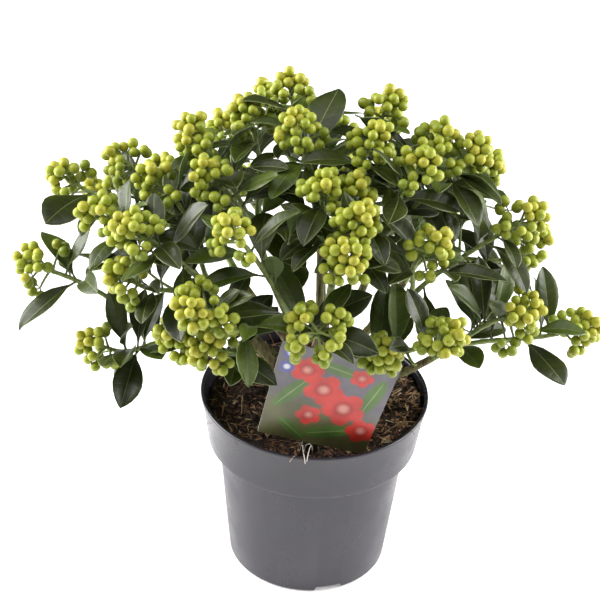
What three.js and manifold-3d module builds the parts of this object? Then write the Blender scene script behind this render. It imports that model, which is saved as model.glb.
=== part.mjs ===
// A skimmia in green fruit, growing in its nursery pot. Millimetres, +Z up.
// The origin is the centre of the pot's flat underside, and -Y is the plant's front.
// The plant stands in a group of its own, whose zero height is the top of the soil.

import * as THREE from "three";
import { mergeVertices } from "three/addons/utils/BufferGeometryUtils.js";
import Module from "manifold-3d";

const wasm = await Module();
wasm.setup();

// ---- Driving dimensions -------------------------------------------------------------------

const GAP = 0.3; // between two pieces that touch
const FORK_GAP = 0.4; // between the stool and the boughs that leave it
const GROWING_ROOM = 0.6; // kept round a leaf or fruit that grows past another piece
const SMOOTHED = 0.2; // how far a joint's surface may move as its slivers are merged away

const POT = {
  height: 158,
  footRadius: 65,
  footEdge: 1.5, // bevel under the foot
  neckRadius: 76.5, // outside of the body just below the collar
  collarFoot: 113, // height of the collar's lower edge
  collarRadius: 85, // outside of the collar at its lower edge
  rimRadius: 92, // outside of the bead
  bead: 3, // height of the bead round the rim
  beadDepth: 1, // how far the bead stands out of the collar
  wall: 2,
  floor: 2.5,
  sides: 32,
};

const DRAIN = {
  count: 3,
  first: -72, // the way the first slot faces, in degrees from +X
  footWidth: 26,
  topWidth: 20,
  height: 5,
  reach: 14,
};

const SOIL = {
  level: 143,
  sides: 32,
  rings: [0.78, 0.52], // where its surface is divided, as shares of its radius
  flat: 24, // radius of the level part round the stool
  slope: 14, // over which the roughness sets in
  rough: 1.6,
  waves: [11, 9, 6], // lengths of its ups and downs, a radian each
};

const LABEL = {
  width: 90,
  height: 90,
  thickness: 1,
  corner: 3,
  stakeWidth: 13,
  stakeLength: 62,
  foot: [0, -66, 152], // middle of the card's lower edge
  turn: 2, // degrees about the upright
  lean: 4, // degrees forward at the top
  tilt: -13, // degrees in the card's own plane
};

// The stool flares to its roots, narrows, and swells into the head that the boughs leave.
const STOOL = {
  height: 40,
  sides: 10,
  outline: [[19, 0], [14.5, 4], [12.5, 11], [15, 25], [12, 34.5], [6, 40]], // radius, height
};

// Where a ring of boughs leaves the stool: the height, the distance from the stool's axis and
// the angle from the upright at which the boughs set off.
const RINGS = {
  low: { up: 14, out: 9, lean: 72 },
  middle: { up: 26, out: 10, lean: 50 },
  high: { up: 35, out: 6, lean: 16 },
};

const BOUGH = {
  rootRadius: 3.7,
  tipRadius: 2.9,
  sides: 5,
  steps: 4,
  share: 0.5, // of the way from its root to the middle of its mass
  bend: 0.4, // share of its length over which it holds its first and last direction
  rise: 0.25, // how much it turns up as it arrives
};

// A stem carries on from a bough's tip into its mass. Its twigs part from it one by one.
const STEM = {
  length: 15,
  rootRadius: 2.9,
  tipRadius: 2.7,
  sides: 5,
  firstFork: 0.35, // share of its length
  nextFork: 0.17,
};

const TWIG = { rootRadius: 2.1, tipRadius: 1.7, sides: 3, steps: 2, bend: 0.35 };

const SHOOT = {
  leanAtCentre: 12, // degrees from the upright
  leanByReach: 50, // more of it at the crown's edge
  leanByDepth: 15, // more of it low in the crown
  crownReach: 220,
  crownHeight: 260,
};

const LEAF = {
  perShoot: 8,
  youngLength: 45,
  oldLength: 61,
  widthShare: 0.44,
  thickness: 2.4,
  widest: 0.52, // share of the length
  youngAngle: 64, // degrees from the shoot, just under the fruit
  oldAngle: 100, // and at the lowest leaf
  firstBack: 9, // from the shoot's end to the first leaf
  lastBack: 52, // and on to the lowest
  furthestBack: 0.7, // no further than this share of the twig
  crowding: 1.6, // how much closer the leaves stand near the end
  turnSpread: 16, // degrees, from leaf to leaf
  angleSpread: 14,
  lengthSpread: 0.16,
  toTip: 0.5, // how far a leaf that points down swings to its shoot's tip
  toLight: 0.6, // and up
  root: -0.6, // where a leaf starts, measured from its twig's axis
  stalk: 7, // length of its thick stalk
  blade: 5, // where the part that has to stay clear begins
  droop: 0.12, // how far the tip hangs, as a share of the length
  fold: 2.4, // how far the edges stand above the midrib
};

const FRUIT = {
  radius: 9,
  crownHeight: 10, // of the top fruit above the head's centre
  ring: 4, // fruits round the head
  ringRadius: 15.5,
  ringDepth: 4, // below the head's centre
  ringTurn: 0.2, // how uneven the ring is, as a share of its spacing
  ringRise: 2,
  head: 14, // from the twig's end to the head's centre
  firstBack: 1, // where the first stalk leaves the twig, from its end
  spacing: 1.5,
};

const GOLDEN_ANGLE = 137.508;

// Steps between the seeds of masses, shoots and leaves, so that each grows its own way.
const SEEDS = { mass: 1000, shoot: 100, leaves: 7, leaf: 17 };

// A mass of foliage, its bough's place on the stool (a ring and the way it faces), and its
// shoots. Each shoot is given by the centre of its fruit head: the way it points round the
// pot in degrees from +X, the distance from the pot's axis, and the height above the soil.
const massOf = (name, ring, from, ...shoots) => ({ name, ring, from, shoots });
const MASSES = [
  massOf("west", "middle", 178, [174, 200, 185], [169, 160, 200], [193, 170, 190]),
  massOf("west_low", "low", 186, [185, 220, 130], [196, 175, 80]),
  massOf("southwest", "middle", 226, [207, 155, 195], [206, 160, 155], [189, 128, 210]),
  massOf("southwest_low", "low", 234, [232, 140, 160], [228, 120, 110], [214, 130, 108]),
  massOf("west_top", "high", 172, [174, 100, 235], [199, 90, 225], [149, 75, 240]),
  massOf("top", "high", 84, [121, 60, 254], [43, 60, 255], [202, 25, 255]),
  massOf("south", "low", 272, [270, 110, 145], [235, 110, 210]),
  massOf("south_top", "high", 268, [267, 50, 230], [300, 45, 225], [290, 75, 215], [281, 90, 195]),
  massOf("southeast_low", "low", 312, [303, 95, 110], [317, 130, 130]),
  massOf("east_low", "low", 350, [345, 155, 125], [354, 200, 100]),
  massOf("east", "middle", 334, [0, 150, 182], [324, 100, 190]),
  massOf("east_top", "high", 356, [336, 75, 240], [10, 110, 228], [344, 35, 250], [13, 85, 240]),
  massOf("northeast", "middle", 32, [40, 170, 170], [57, 162, 170], [20, 178, 125]),
  massOf("north", "middle", 82, [90, 150, 180], [68, 118, 200], [113, 130, 210]),
  massOf("northwest", "middle", 132, [139, 180, 140], [123, 160, 172], [156, 195, 140]),
  massOf("north_low", "low", 84, [83, 170, 125], [112, 185, 105], [58, 190, 100]),
];

// ---- Looks ----------------------------------------------------------------------------------

const look = (color, roughness) => new THREE.MeshStandardMaterial({ color, roughness, metalness: 0 });
const LOOKS = {
  plastic: look(0x6b6a72, 0.5),
  peat: look(0x2b1f17, 0.95),
  card: look(0xd8dcd2, 0.35),
  wood: look(0x6d6048, 0.8),
  foliage: look(0x3f5a2c, 0.4),
};

// ---- Small helpers --------------------------------------------------------------------------

const radians = THREE.MathUtils.degToRad;
const vec = (x, y, z) => new THREE.Vector3(x, y, z);
const UP = vec(0, 0, 1);
const NEARLY_UPRIGHT = 0.9; // past this share of UP, a direction is squared to +Y instead

// A point given by its way round the pot, its distance from the pot's axis and its height.
function around(degrees, out, up) {
  return vec(out * Math.cos(radians(degrees)), out * Math.sin(radians(degrees)), up);
}

// A steady stream of numbers from 0 to 1 that depends on the seed alone.
function seeded(seed) {
  let state = seed >>> 0;
  return () => {
    state = (state + 0x6d2b79f5) >>> 0;
    let mixed = Math.imul(state ^ (state >>> 15), state | 1);
    mixed ^= mixed + Math.imul(mixed ^ (mixed >>> 7), mixed | 61);
    return ((mixed ^ (mixed >>> 14)) >>> 0) / 4294967296;
  };
}

// A closed three.js geometry as a solid that can be joined and cut.
function solidOf(geometry, matrix = new THREE.Matrix4()) {
  const bare = new THREE.BufferGeometry();
  bare.setAttribute("position", geometry.getAttribute("position").clone());
  bare.setIndex(geometry.index);
  const merged = mergeVertices(bare.applyMatrix4(matrix), 1e-4);
  const corners = merged.index.array;
  const faces = [];
  for (let i = 0; i < corners.length; i += 3) {
    const [a, b, c] = corners.slice(i, i + 3);
    if (a !== b && b !== c && c !== a) faces.push(a, b, c);
  }
  const vertProperties = new Float32Array(merged.attributes.position.array);
  const triVerts = new Uint32Array(faces);
  return new wasm.Manifold(new wasm.Mesh({ numProp: 3, vertProperties, triVerts }));
}

// The largest closed body of a solid: sealed hollows are filled and loose scraps dropped.
function oneBody(solid) {
  return solid.decompose().reduce((best, body) => (body.volume() > best.volume() ? body : best));
}

function meshOf(name, solid, material) {
  const { vertProperties, triVerts } = solid.getMesh();
  const geometry = new THREE.BufferGeometry();
  geometry.setAttribute("position", new THREE.BufferAttribute(new Float32Array(vertProperties), 3));
  geometry.setIndex(new THREE.BufferAttribute(new Uint32Array(triVerts), 1));
  geometry.computeVertexNormals();
  const mesh = new THREE.Mesh(geometry, material);
  mesh.name = name;
  return mesh;
}

// A body of revolution about +Z from [radius, height] pairs that run up its outside.
function turned(profile, sides) {
  const lathe = new THREE.LatheGeometry(profile.map(([r, z]) => new THREE.Vector2(r, z)), sides);
  return lathe.rotateX(Math.PI / 2);
}

// A limb: a closed many-sided rod laid along a curve, tapering evenly from root to tip.
function limb(curve, rootRadius, tipRadius, sides, steps) {
  const rod = new THREE.CylinderGeometry(1, 1, 1, sides, steps);
  const frames = curve.computeFrenetFrames(steps, false);
  const place = rod.getAttribute("position");
  for (let i = 0; i < place.count; i += 1) {
    const step = Math.round((place.getY(i) + 0.5) * steps);
    const share = step / steps;
    const radius = rootRadius + (tipRadius - rootRadius) * share;
    const point = curve.getPointAt(share);
    point.addScaledVector(frames.normals[step], radius * place.getX(i));
    point.addScaledVector(frames.binormals[step], -radius * place.getZ(i));
    place.setXYZ(i, point.x, point.y, point.z);
  }
  return solidOf(rod);
}

// The middle of a limb with straight steps, at a distance back from its tip.
function backFromTip(curve, steps, back) {
  const run = steps * (1 - back / curve.getLength());
  const step = Math.min(Math.floor(run), steps - 1);
  return curve.getPointAt(step / steps).lerp(curve.getPointAt((step + 1) / steps), run - step);
}

// ---- Pot ------------------------------------------------------------------------------------

// The pot's inner face from the floor to the rim, drawn in by `inset`.
function potInside(inset) {
  const { footRadius, neckRadius, collarRadius, rimRadius, beadDepth, collarFoot, height, wall, floor } = POT;
  return [
    [footRadius - wall - inset, floor + inset],
    [neckRadius - wall - inset, collarFoot + wall / 2],
    [collarRadius - wall - inset, collarFoot + 2 * wall],
    [rimRadius - beadDepth - wall - inset, height],
  ];
}

function pot() {
  const { footRadius, footEdge, neckRadius, collarRadius, rimRadius, bead, beadDepth } = POT;
  const outside = [
    [0, 0],
    [footRadius - footEdge, 0],
    [footRadius, footEdge],
    [neckRadius, POT.collarFoot],
    [collarRadius, POT.collarFoot],
    [rimRadius - beadDepth, POT.height - bead],
    [rimRadius, POT.height - bead],
    [rimRadius, POT.height],
  ];
  const inside = potInside(0).reverse();
  let body = solidOf(turned([...outside, ...inside, [0, POT.floor]], POT.sides));
  for (let i = 0; i < DRAIN.count; i += 1) {
    body = body.subtract(drainSlot(DRAIN.first + (i * 360) / DRAIN.count));
  }
  return body;
}

// A slot with slanting ends through the foot of the wall and the edge of the floor.
function drainSlot(degrees) {
  const { footWidth, topWidth, height, reach } = DRAIN;
  const below = -1;
  const outline = new THREE.Shape();
  outline.moveTo(-footWidth / 2, below);
  outline.lineTo(footWidth / 2, below);
  outline.lineTo(topWidth / 2, height);
  outline.lineTo(-topWidth / 2, height);
  outline.closePath();
  const block = new THREE.ExtrudeGeometry(outline, { depth: reach, bevelEnabled: false });
  block.rotateX(Math.PI / 2).rotateZ(Math.PI / 2);
  block.translate(POT.footRadius - reach / 2, 0, 0).rotateZ(radians(degrees));
  return solidOf(block);
}

// ---- Soil -----------------------------------------------------------------------------------

// The soil's height at a place: level round the stool, uneven further out.
function soilHeight(x, y) {
  const [long, wide, slanting] = SOIL.waves;
  const share = THREE.MathUtils.smoothstep(Math.hypot(x, y), SOIL.flat, SOIL.flat + SOIL.slope);
  const waves = Math.sin(x / long + 1) * Math.cos(y / wide) + 0.6 * Math.sin((x - y) / slanting);
  return SOIL.level + SOIL.rough * share * waves;
}

function soil() {
  const [foot, neck, shoulder, rim] = potInside(GAP);
  const share = (SOIL.level - shoulder[1]) / (rim[1] - shoulder[1]);
  const edge = shoulder[0] + (rim[0] - shoulder[0]) * share - GAP;
  const radii = [edge, ...SOIL.rings.map((ring) => ring * edge), SOIL.flat, 0];
  const surface = radii.map((radius) => [radius, SOIL.level]);
  const block = turned([[0, foot[1]], foot, neck, shoulder, ...surface], SOIL.sides);
  const place = block.getAttribute("position");
  for (let i = 0; i < place.count; i += 1) {
    if (place.getZ(i) > SOIL.level - 1) place.setZ(i, soilHeight(place.getX(i), place.getY(i)));
  }
  return solidOf(block).subtract(labelSolid(GAP));
}

// ---- Label ----------------------------------------------------------------------------------

// The card and its stake in one outline, grown by `margin` all round.
function labelOutline(margin) {
  const half = LABEL.width / 2 + margin;
  const top = LABEL.height + margin;
  const round = LABEL.corner;
  const stake = LABEL.stakeWidth / 2 + margin;
  const outline = new THREE.Shape();
  outline.moveTo(-half, -margin);
  outline.lineTo(-stake, -margin);
  outline.lineTo(-0.7 * stake, -LABEL.stakeLength + stake);
  outline.lineTo(0, -LABEL.stakeLength - margin);
  outline.lineTo(0.7 * stake, -LABEL.stakeLength + stake);
  outline.lineTo(stake, -margin);
  outline.lineTo(half, -margin);
  outline.lineTo(half, top - round);
  outline.quadraticCurveTo(half, top, half - round, top);
  outline.lineTo(round - half, top);
  outline.quadraticCurveTo(-half, top, -half, top - round);
  outline.closePath();
  return outline;
}

function labelMatrix() {
  const stand = new THREE.Matrix4().makeTranslation(...LABEL.foot);
  stand.multiply(new THREE.Matrix4().makeRotationZ(radians(LABEL.turn)));
  stand.multiply(new THREE.Matrix4().makeRotationX(radians(90 + LABEL.lean)));
  return stand.multiply(new THREE.Matrix4().makeRotationZ(radians(LABEL.tilt)));
}

function labelSolid(margin) {
  const depth = LABEL.thickness + 2 * margin;
  const sizes = { depth, bevelEnabled: false, curveSegments: 3 };
  const card = new THREE.ExtrudeGeometry(labelOutline(margin), sizes);
  return solidOf(card.translate(0, 0, -depth / 2), labelMatrix());
}

// ---- Stool and boughs -----------------------------------------------------------------------

// The stool on the soil, grown by `margin` all round.
function stool(margin) {
  const side = STOOL.outline.map(([radius, height]) => [radius + margin, height]);
  const top = STOOL.height + margin;
  side[0][1] = GAP - margin;
  side[side.length - 1][1] = top;
  return solidOf(turned([[0, GAP - margin], ...side, [0, top]], STOOL.sides));
}

// The mean of a mass's shoots.
function middleOf(mass) {
  const sum = mass.shoots.reduce((total, shoot) => total.add(around(...shoot)), vec(0, 0, 0));
  return sum.divideScalar(mass.shoots.length);
}

// A bough's run from inside the stool's head to its tip, part way to its mass's middle.
function boughCurve(mass) {
  const ring = RINGS[mass.ring];
  const root = around(mass.from, ring.out, ring.up);
  const setOff = around(mass.from, Math.sin(radians(ring.lean)), Math.cos(radians(ring.lean)));
  const tip = root.clone().lerp(middleOf(mass), BOUGH.share);
  const arrive = middleOf(mass).sub(root).normalize().addScaledVector(UP, BOUGH.rise).normalize();
  const bend = BOUGH.bend * root.distanceTo(tip);
  const leaving = root.clone().addScaledVector(setOff, bend);
  const arriving = tip.clone().addScaledVector(arrive, -bend);
  return new THREE.CubicBezierCurve3(root, leaving, arriving, tip);
}

function bough(mass, stoolRoom) {
  const { rootRadius, tipRadius, sides, steps } = BOUGH;
  return oneBody(limb(boughCurve(mass), rootRadius, tipRadius, sides, steps).subtract(stoolRoom));
}

// ---- Masses: stem, twigs, fruit and leaves --------------------------------------------------

// The stem that carries on from the bough's tip, on the bough's own line.
function stemCurve(mass) {
  const carrier = boughCurve(mass);
  const line = carrier.getTangentAt(1);
  const start = carrier.getPointAt(1).addScaledVector(line, GAP);
  return new THREE.LineCurve3(start, start.clone().addScaledVector(line, STEM.length));
}

// The way a shoot points where it ends: nearly upright at the crown's centre, leaning
// outwards at its edge and low down.
function shootAxis([degrees, out, up]) {
  const byReach = SHOOT.leanByReach * (out / SHOOT.crownReach);
  const byDepth = SHOOT.leanByDepth * (1 - up / SHOOT.crownHeight);
  const lean = radians(SHOOT.leanAtCentre + byReach + byDepth);
  return around(degrees, Math.sin(lean), Math.cos(lean));
}

// A twig from its fork in the stem to the foot of its fruit head.
function twigCurve(mass, shoot, s) {
  const stem = stemCurve(mass);
  const line = stem.getTangentAt(1);
  const fork = stem.getPointAt(STEM.firstFork + s * STEM.nextFork);
  const axis = shootAxis(shoot);
  const end = around(...shoot).addScaledVector(axis, -FRUIT.head);
  const bend = TWIG.bend * fork.distanceTo(end);
  const leaving = fork.clone().addScaledVector(line, bend);
  const arriving = end.clone().addScaledVector(axis, -bend);
  return new THREE.CubicBezierCurve3(fork, leaving, arriving, end);
}

// Two directions square to an axis and to each other.
function squareTo(axis) {
  const other = Math.abs(axis.z) > NEARLY_UPRIGHT ? vec(0, 1, 0) : UP;
  const side = axis.clone().cross(other).normalize();
  return [side, axis.clone().cross(side)];
}

function turnedFrom(axis, angle, about) {
  const [side, other] = squareTo(axis);
  const flat = side.multiplyScalar(Math.cos(about)).addScaledVector(other, Math.sin(about));
  return flat.multiplyScalar(Math.sin(angle)).addScaledVector(axis, Math.cos(angle));
}

// The centres of a head's fruits: one on the shoot's line, the others in a ring below it.
function fruitPlaces(shoot, seed) {
  const random = seeded(seed);
  const axis = shootAxis(shoot);
  const centre = around(...shoot);
  const phase = 2 * Math.PI * random();
  const places = [centre.clone().addScaledVector(axis, FRUIT.crownHeight)];
  for (let i = 0; i < FRUIT.ring; i += 1) {
    const about = phase + (2 * Math.PI * (i + FRUIT.ringTurn * random())) / FRUIT.ring;
    const outwards = turnedFrom(axis, Math.PI / 2, about);
    const place = centre.clone().addScaledVector(outwards, FRUIT.ringRadius);
    places.push(place.addScaledVector(axis, -FRUIT.ringDepth + FRUIT.ringRise * random()));
  }
  return places;
}

// A fruit drawn out into its stalk: a ball whose nearest corner reaches the twig.
function fruit(place, foot, room) {
  const toTwig = foot.clone().sub(place);
  const ball = new THREE.IcosahedronGeometry(FRUIT.radius + room);
  const spots = ball.getAttribute("position");
  const corner = vec(0, 0, 0).fromBufferAttribute(spots, 0);
  const turn = new THREE.Quaternion();
  turn.setFromUnitVectors(corner.clone().normalize(), toTwig.clone().normalize());
  for (let i = 0; i < spots.count; i += 1) {
    const spot = vec(0, 0, 0).fromBufferAttribute(spots, i);
    const isCorner = spot.distanceTo(corner) < GAP;
    spot.applyQuaternion(turn);
    if (isCorner) spot.copy(toTwig);
    spots.setXYZ(i, spot.x, spot.y, spot.z);
  }
  return solidOf(ball.translate(place.x, place.y, place.z));
}

// The places of a shoot's leaves: each with its root, direction, length and the side it faces.
function leafPlans(curve, axis, seed) {
  const plans = [];
  const phase = 360 * seeded(seed)();
  const between = (young, old, age) => young + (old - young) * age;
  for (let i = 0; i < LEAF.perShoot; i += 1) {
    const random = seeded(seed + SEEDS.leaf * (i + 1));
    const spread = (size) => size * (random() - 0.5);
    const age = i / (LEAF.perShoot - 1);
    const about = radians(phase + GOLDEN_ANGLE * i + spread(LEAF.turnSpread));
    const angle = radians(between(LEAF.youngAngle, LEAF.oldAngle, age) + spread(LEAF.angleSpread));
    const length = between(LEAF.youngLength, LEAF.oldLength, age) * (1 + spread(LEAF.lengthSpread));
    const down = between(LEAF.firstBack, LEAF.lastBack, age ** LEAF.crowding);
    const back = Math.min(down, LEAF.furthestBack * curve.getLength());
    plans.push({ root: backFromTip(curve, TWIG.steps, back), axis, about, angle, length });
  }
  return plans;
}

// One leaf of eight faces: pointed, folded up from its midrib, with a hanging tip. It starts
// at `start` along its own line, and is grown by `room` all round.
function leaf({ root, axis, about, angle, length }, start, room) {
  const along = turnedFrom(axis, angle, about);
  const hang = Math.max(0, -along.z);
  along.addScaledVector(axis, LEAF.toTip * hang).addScaledVector(UP, LEAF.toLight * hang).normalize();
  const face = axis.clone().add(UP).projectOnPlane(along).normalize();
  const across = along.clone().cross(face);
  const blade = new THREE.OctahedronGeometry(1);
  const place = blade.getAttribute("position");
  for (let i = 0; i < place.count; i += 1) {
    const [x, y, z] = [place.getX(i), place.getY(i), place.getZ(i)];
    const run = [start, z ? LEAF.stalk : LEAF.widest * length, length + room][y + 1];
    const lift = LEAF.fold * Math.abs(x) - LEAF.droop * length * Math.max(y, 0);
    const point = root.clone().addScaledVector(along, run);
    point.addScaledVector(across, x * (0.5 * LEAF.widthShare * length + room));
    point.addScaledVector(face, lift + z * (0.5 * LEAF.thickness + room));
    place.setXYZ(i, point.x, point.y, point.z);
  }
  return solidOf(blade);
}

// ---- Growing without touching ---------------------------------------------------------------

function boxesMeet(a, b) {
  return [0, 1, 2].every((k) => a.min[k] <= b.max[k] && b.min[k] <= a.max[k]);
}

// The pieces of every node, so that what grows can be kept clear of what is there.
class Garden {
  constructor() {
    this.pieces = new Map();
  }

  add(node, solid, owner) {
    const piece = { node, solid, owner, box: solid.boundingBox() };
    if (!this.pieces.has(node)) this.pieces.set(node, []);
    this.pieces.get(node).push(piece);
  }

  // Whether a solid touches no piece but those that it may touch.
  isClear(solid, mayTouch) {
    const box = solid.boundingBox();
    const others = [...this.pieces.values()].flat().filter((piece) => !mayTouch(piece));
    const near = others.filter((piece) => boxesMeet(box, piece.box));
    return !near.some((piece) => solid.intersect(piece.solid).volume() > 0);
  }

  joined(node) {
    const solids = this.pieces.get(node).map((piece) => piece.solid);
    return oneBody(wasm.Manifold.union(solids).asOriginal().simplify(SMOOTHED));
  }
}

// A leaf that has no room is turned, lifted or shortened before it is left out.
const LEAF_TRIES = [
  { turn: 0, lift: 0, share: 1 },
  { turn: 14, lift: 0, share: 1 },
  { turn: -14, lift: 0, share: 1 },
  { turn: 0, lift: -14, share: 0.95 },
  { turn: 0, lift: 14, share: 0.95 },
  { turn: 26, lift: -8, share: 0.85 },
  { turn: -26, lift: -8, share: 0.85 },
  { turn: 0, lift: -24, share: 0.75 },
];

// Its blade keeps clear of all but its own twig, and its stalk of all but its own mass.
function growLeaf(garden, shoot, plan) {
  const onTwig = (piece) => piece.owner === shoot.twig;
  const inMass = (piece) => piece.node === shoot.node;
  for (const { turn, lift, share } of LEAF_TRIES) {
    const tried = {
      ...plan,
      about: plan.about + radians(turn),
      angle: plan.angle + radians(lift),
      length: plan.length * share,
    };
    const bladeIsClear = garden.isClear(leaf(tried, LEAF.blade, GROWING_ROOM), onTwig);
    if (bladeIsClear && garden.isClear(leaf(tried, LEAF.root, GROWING_ROOM), inMass)) {
      garden.add(shoot.node, leaf(tried, LEAF.root, 0), plan);
      return;
    }
  }
}

// All the plant's shoots, each with its mass, its own seed and the curve of its twig.
function allShoots() {
  return MASSES.flatMap((mass, m) =>
    mass.shoots.map((place, s) => ({
      node: mass.name,
      place,
      seed: SEEDS.mass * (m + 1) + SEEDS.shoot * (s + 1),
      curve: twigCurve(mass, place, s),
      axis: shootAxis(place),
      twig: `${mass.name} twig ${s}`,
      head: `${mass.name} head ${s}`,
    })),
  );
}

// The stems and twigs come first, then the fruit, and the leaves fill what room is left.
function growMasses(garden) {
  for (const mass of MASSES) {
    garden.add(mass.name, limb(stemCurve(mass), STEM.rootRadius, STEM.tipRadius, STEM.sides, 1));
  }
  const shoots = allShoots();
  for (const { node, curve, twig } of shoots) {
    const { rootRadius, tipRadius, sides, steps } = TWIG;
    garden.add(node, limb(curve, rootRadius, tipRadius, sides, steps), twig);
  }
  for (const { node, place, seed, curve, twig, head } of shoots) {
    const ownPiece = ({ owner }) => owner === twig || owner === head;
    fruitPlaces(place, seed).forEach((centre, i) => {
      const foot = backFromTip(curve, TWIG.steps, FRUIT.firstBack + i * FRUIT.spacing);
      if (garden.isClear(fruit(centre, foot, GROWING_ROOM), ownPiece)) {
        garden.add(node, fruit(centre, foot, 0), head);
      }
    });
  }
  for (const shoot of shoots) {
    const plans = leafPlans(shoot.curve, shoot.axis, shoot.seed + SEEDS.leaves);
    for (const plan of plans) growLeaf(garden, shoot, plan);
  }
}

// ---- The whole plant in its pot -------------------------------------------------------------

const skimmia = new THREE.Group();
const plant = new THREE.Group();
plant.position.z = SOIL.level;
skimmia.add(plant);

const potted = {
  pot: [pot(), LOOKS.plastic],
  soil: [soil(), LOOKS.peat],
  plant_label: [labelSolid(0), LOOKS.card],
};
const garden = new Garden();
const toPlant = new THREE.Matrix4().makeTranslation(0, 0, -SOIL.level);
for (const [name, [solid, material]] of Object.entries(potted)) {
  const mesh = meshOf(name, solid, material);
  skimmia.add(mesh);
  garden.add(name, solidOf(mesh.geometry, toPlant));
}

garden.add("stool", stool(0));
const stoolRoom = stool(FORK_GAP);
for (const mass of MASSES) garden.add("bough_" + mass.name, bough(mass, stoolRoom));
growMasses(garden);

plant.add(meshOf("stool", garden.joined("stool"), LOOKS.wood));
for (const { name } of MASSES) {
  plant.add(meshOf("bough_" + name, garden.joined("bough_" + name), LOOKS.wood));
  plant.add(meshOf("foliage_" + name, garden.joined(name), LOOKS.foliage));
}

export default skimmia;
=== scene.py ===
# A skimmia in green fruit, in its nursery pot: its looks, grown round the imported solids.
# Lengths are in millimetres until a piece is made, and +Z is up. The origin is the centre of
# the pot's flat underside, and -Y is the front. What belongs to the plant is worked out with
# its zero height at the top of the soil.

import math
import random
from functools import lru_cache
from types import SimpleNamespace as Sizes

import bmesh
import bpy
import numpy as np
from mathutils import Matrix, Vector, noise
from mathutils.bvhtree import BVHTree


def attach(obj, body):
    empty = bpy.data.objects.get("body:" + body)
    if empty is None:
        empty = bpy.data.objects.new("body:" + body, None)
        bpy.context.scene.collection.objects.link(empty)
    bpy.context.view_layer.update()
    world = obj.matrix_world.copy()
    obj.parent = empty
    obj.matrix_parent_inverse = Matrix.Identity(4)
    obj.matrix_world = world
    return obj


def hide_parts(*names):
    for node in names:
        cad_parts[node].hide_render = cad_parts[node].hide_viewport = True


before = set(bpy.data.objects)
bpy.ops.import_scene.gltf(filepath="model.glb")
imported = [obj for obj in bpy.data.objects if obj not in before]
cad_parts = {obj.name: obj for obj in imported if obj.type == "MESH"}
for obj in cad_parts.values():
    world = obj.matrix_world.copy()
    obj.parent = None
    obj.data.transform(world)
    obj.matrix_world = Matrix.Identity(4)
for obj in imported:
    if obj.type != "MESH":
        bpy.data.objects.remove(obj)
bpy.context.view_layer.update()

# ---- Sizes of the solids ---------------------------------------------------------------------

MM = 0.001  # in metres
GAP = 0.3  # left between parts that carry on from each other
POT = Sizes(height=158, foot_radius=65, foot_edge=1.5, neck_radius=76.5, collar_foot=113,
            collar_radius=85, rim_radius=92, bead=3, bead_depth=1, wall=2, floor=2.5)
DRAIN = Sizes(count=3, first=-72, foot_width=26, top_width=20, height=5, reach=14)
SOIL = Sizes(level=143, flat=24, slope=14, rough=1.6, waves=(11, 9, 6))
# The card here stands 2 mm higher than the solid's, clear of the soil, and is wider at its top
# than at its foot by `flare`.
LABEL = Sizes(width=90, height=90, thickness=1, corner=3, stake_width=13, stake_length=62,
              foot=(-0.8, -66, 154), turn=2, lean=4, tilt=-13, flare=4)
STOOL = Sizes(height=40, outline=((19, 0), (14.5, 4), (12.5, 11), (15, 25), (12, 34.5), (6, 40)))
RINGS = {
    "low": Sizes(up=14, out=9, lean=72),
    "middle": Sizes(up=26, out=10, lean=50),
    "high": Sizes(up=35, out=6, lean=16),
}
BOUGH = Sizes(root_radius=3.7, tip_radius=2.9, share=0.5, bend=0.4, rise=0.25)
STEM = Sizes(length=15, root_radius=2.9, tip_radius=2.7, first_fork=0.35, next_fork=0.17)
TWIG = Sizes(root_radius=2.1, tip_radius=1.7, bend=0.35)
SHOOT = Sizes(lean_at_centre=12, lean_by_reach=50, lean_by_depth=15, crown_reach=220,
              crown_height=260)
LEAF = Sizes(per_shoot=8, young_length=45, old_length=61, young_angle=64, old_angle=100,
             first_back=9, last_back=52, furthest_back=0.7, crowding=1.6,
             turn_spread=16, angle_spread=14, length_spread=0.16, to_tip=0.5, droop=0.12)
FRUIT_HEAD = 14  # from a twig's end to the centre of its fruit head
GOLDEN_ANGLE = 137.508
# What is added to a shoot's seed for each thing that is drawn by chance, or for the next one.
SEEDS = Sizes(mass=1000, shoot=100, leaves=7, leaf=17, leaf_shape=31, tints=9, edge=90000,
              side_shoots=5, side_leaves=300, side_leaf_shape=13, side_tints=11, berry=7)

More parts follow.
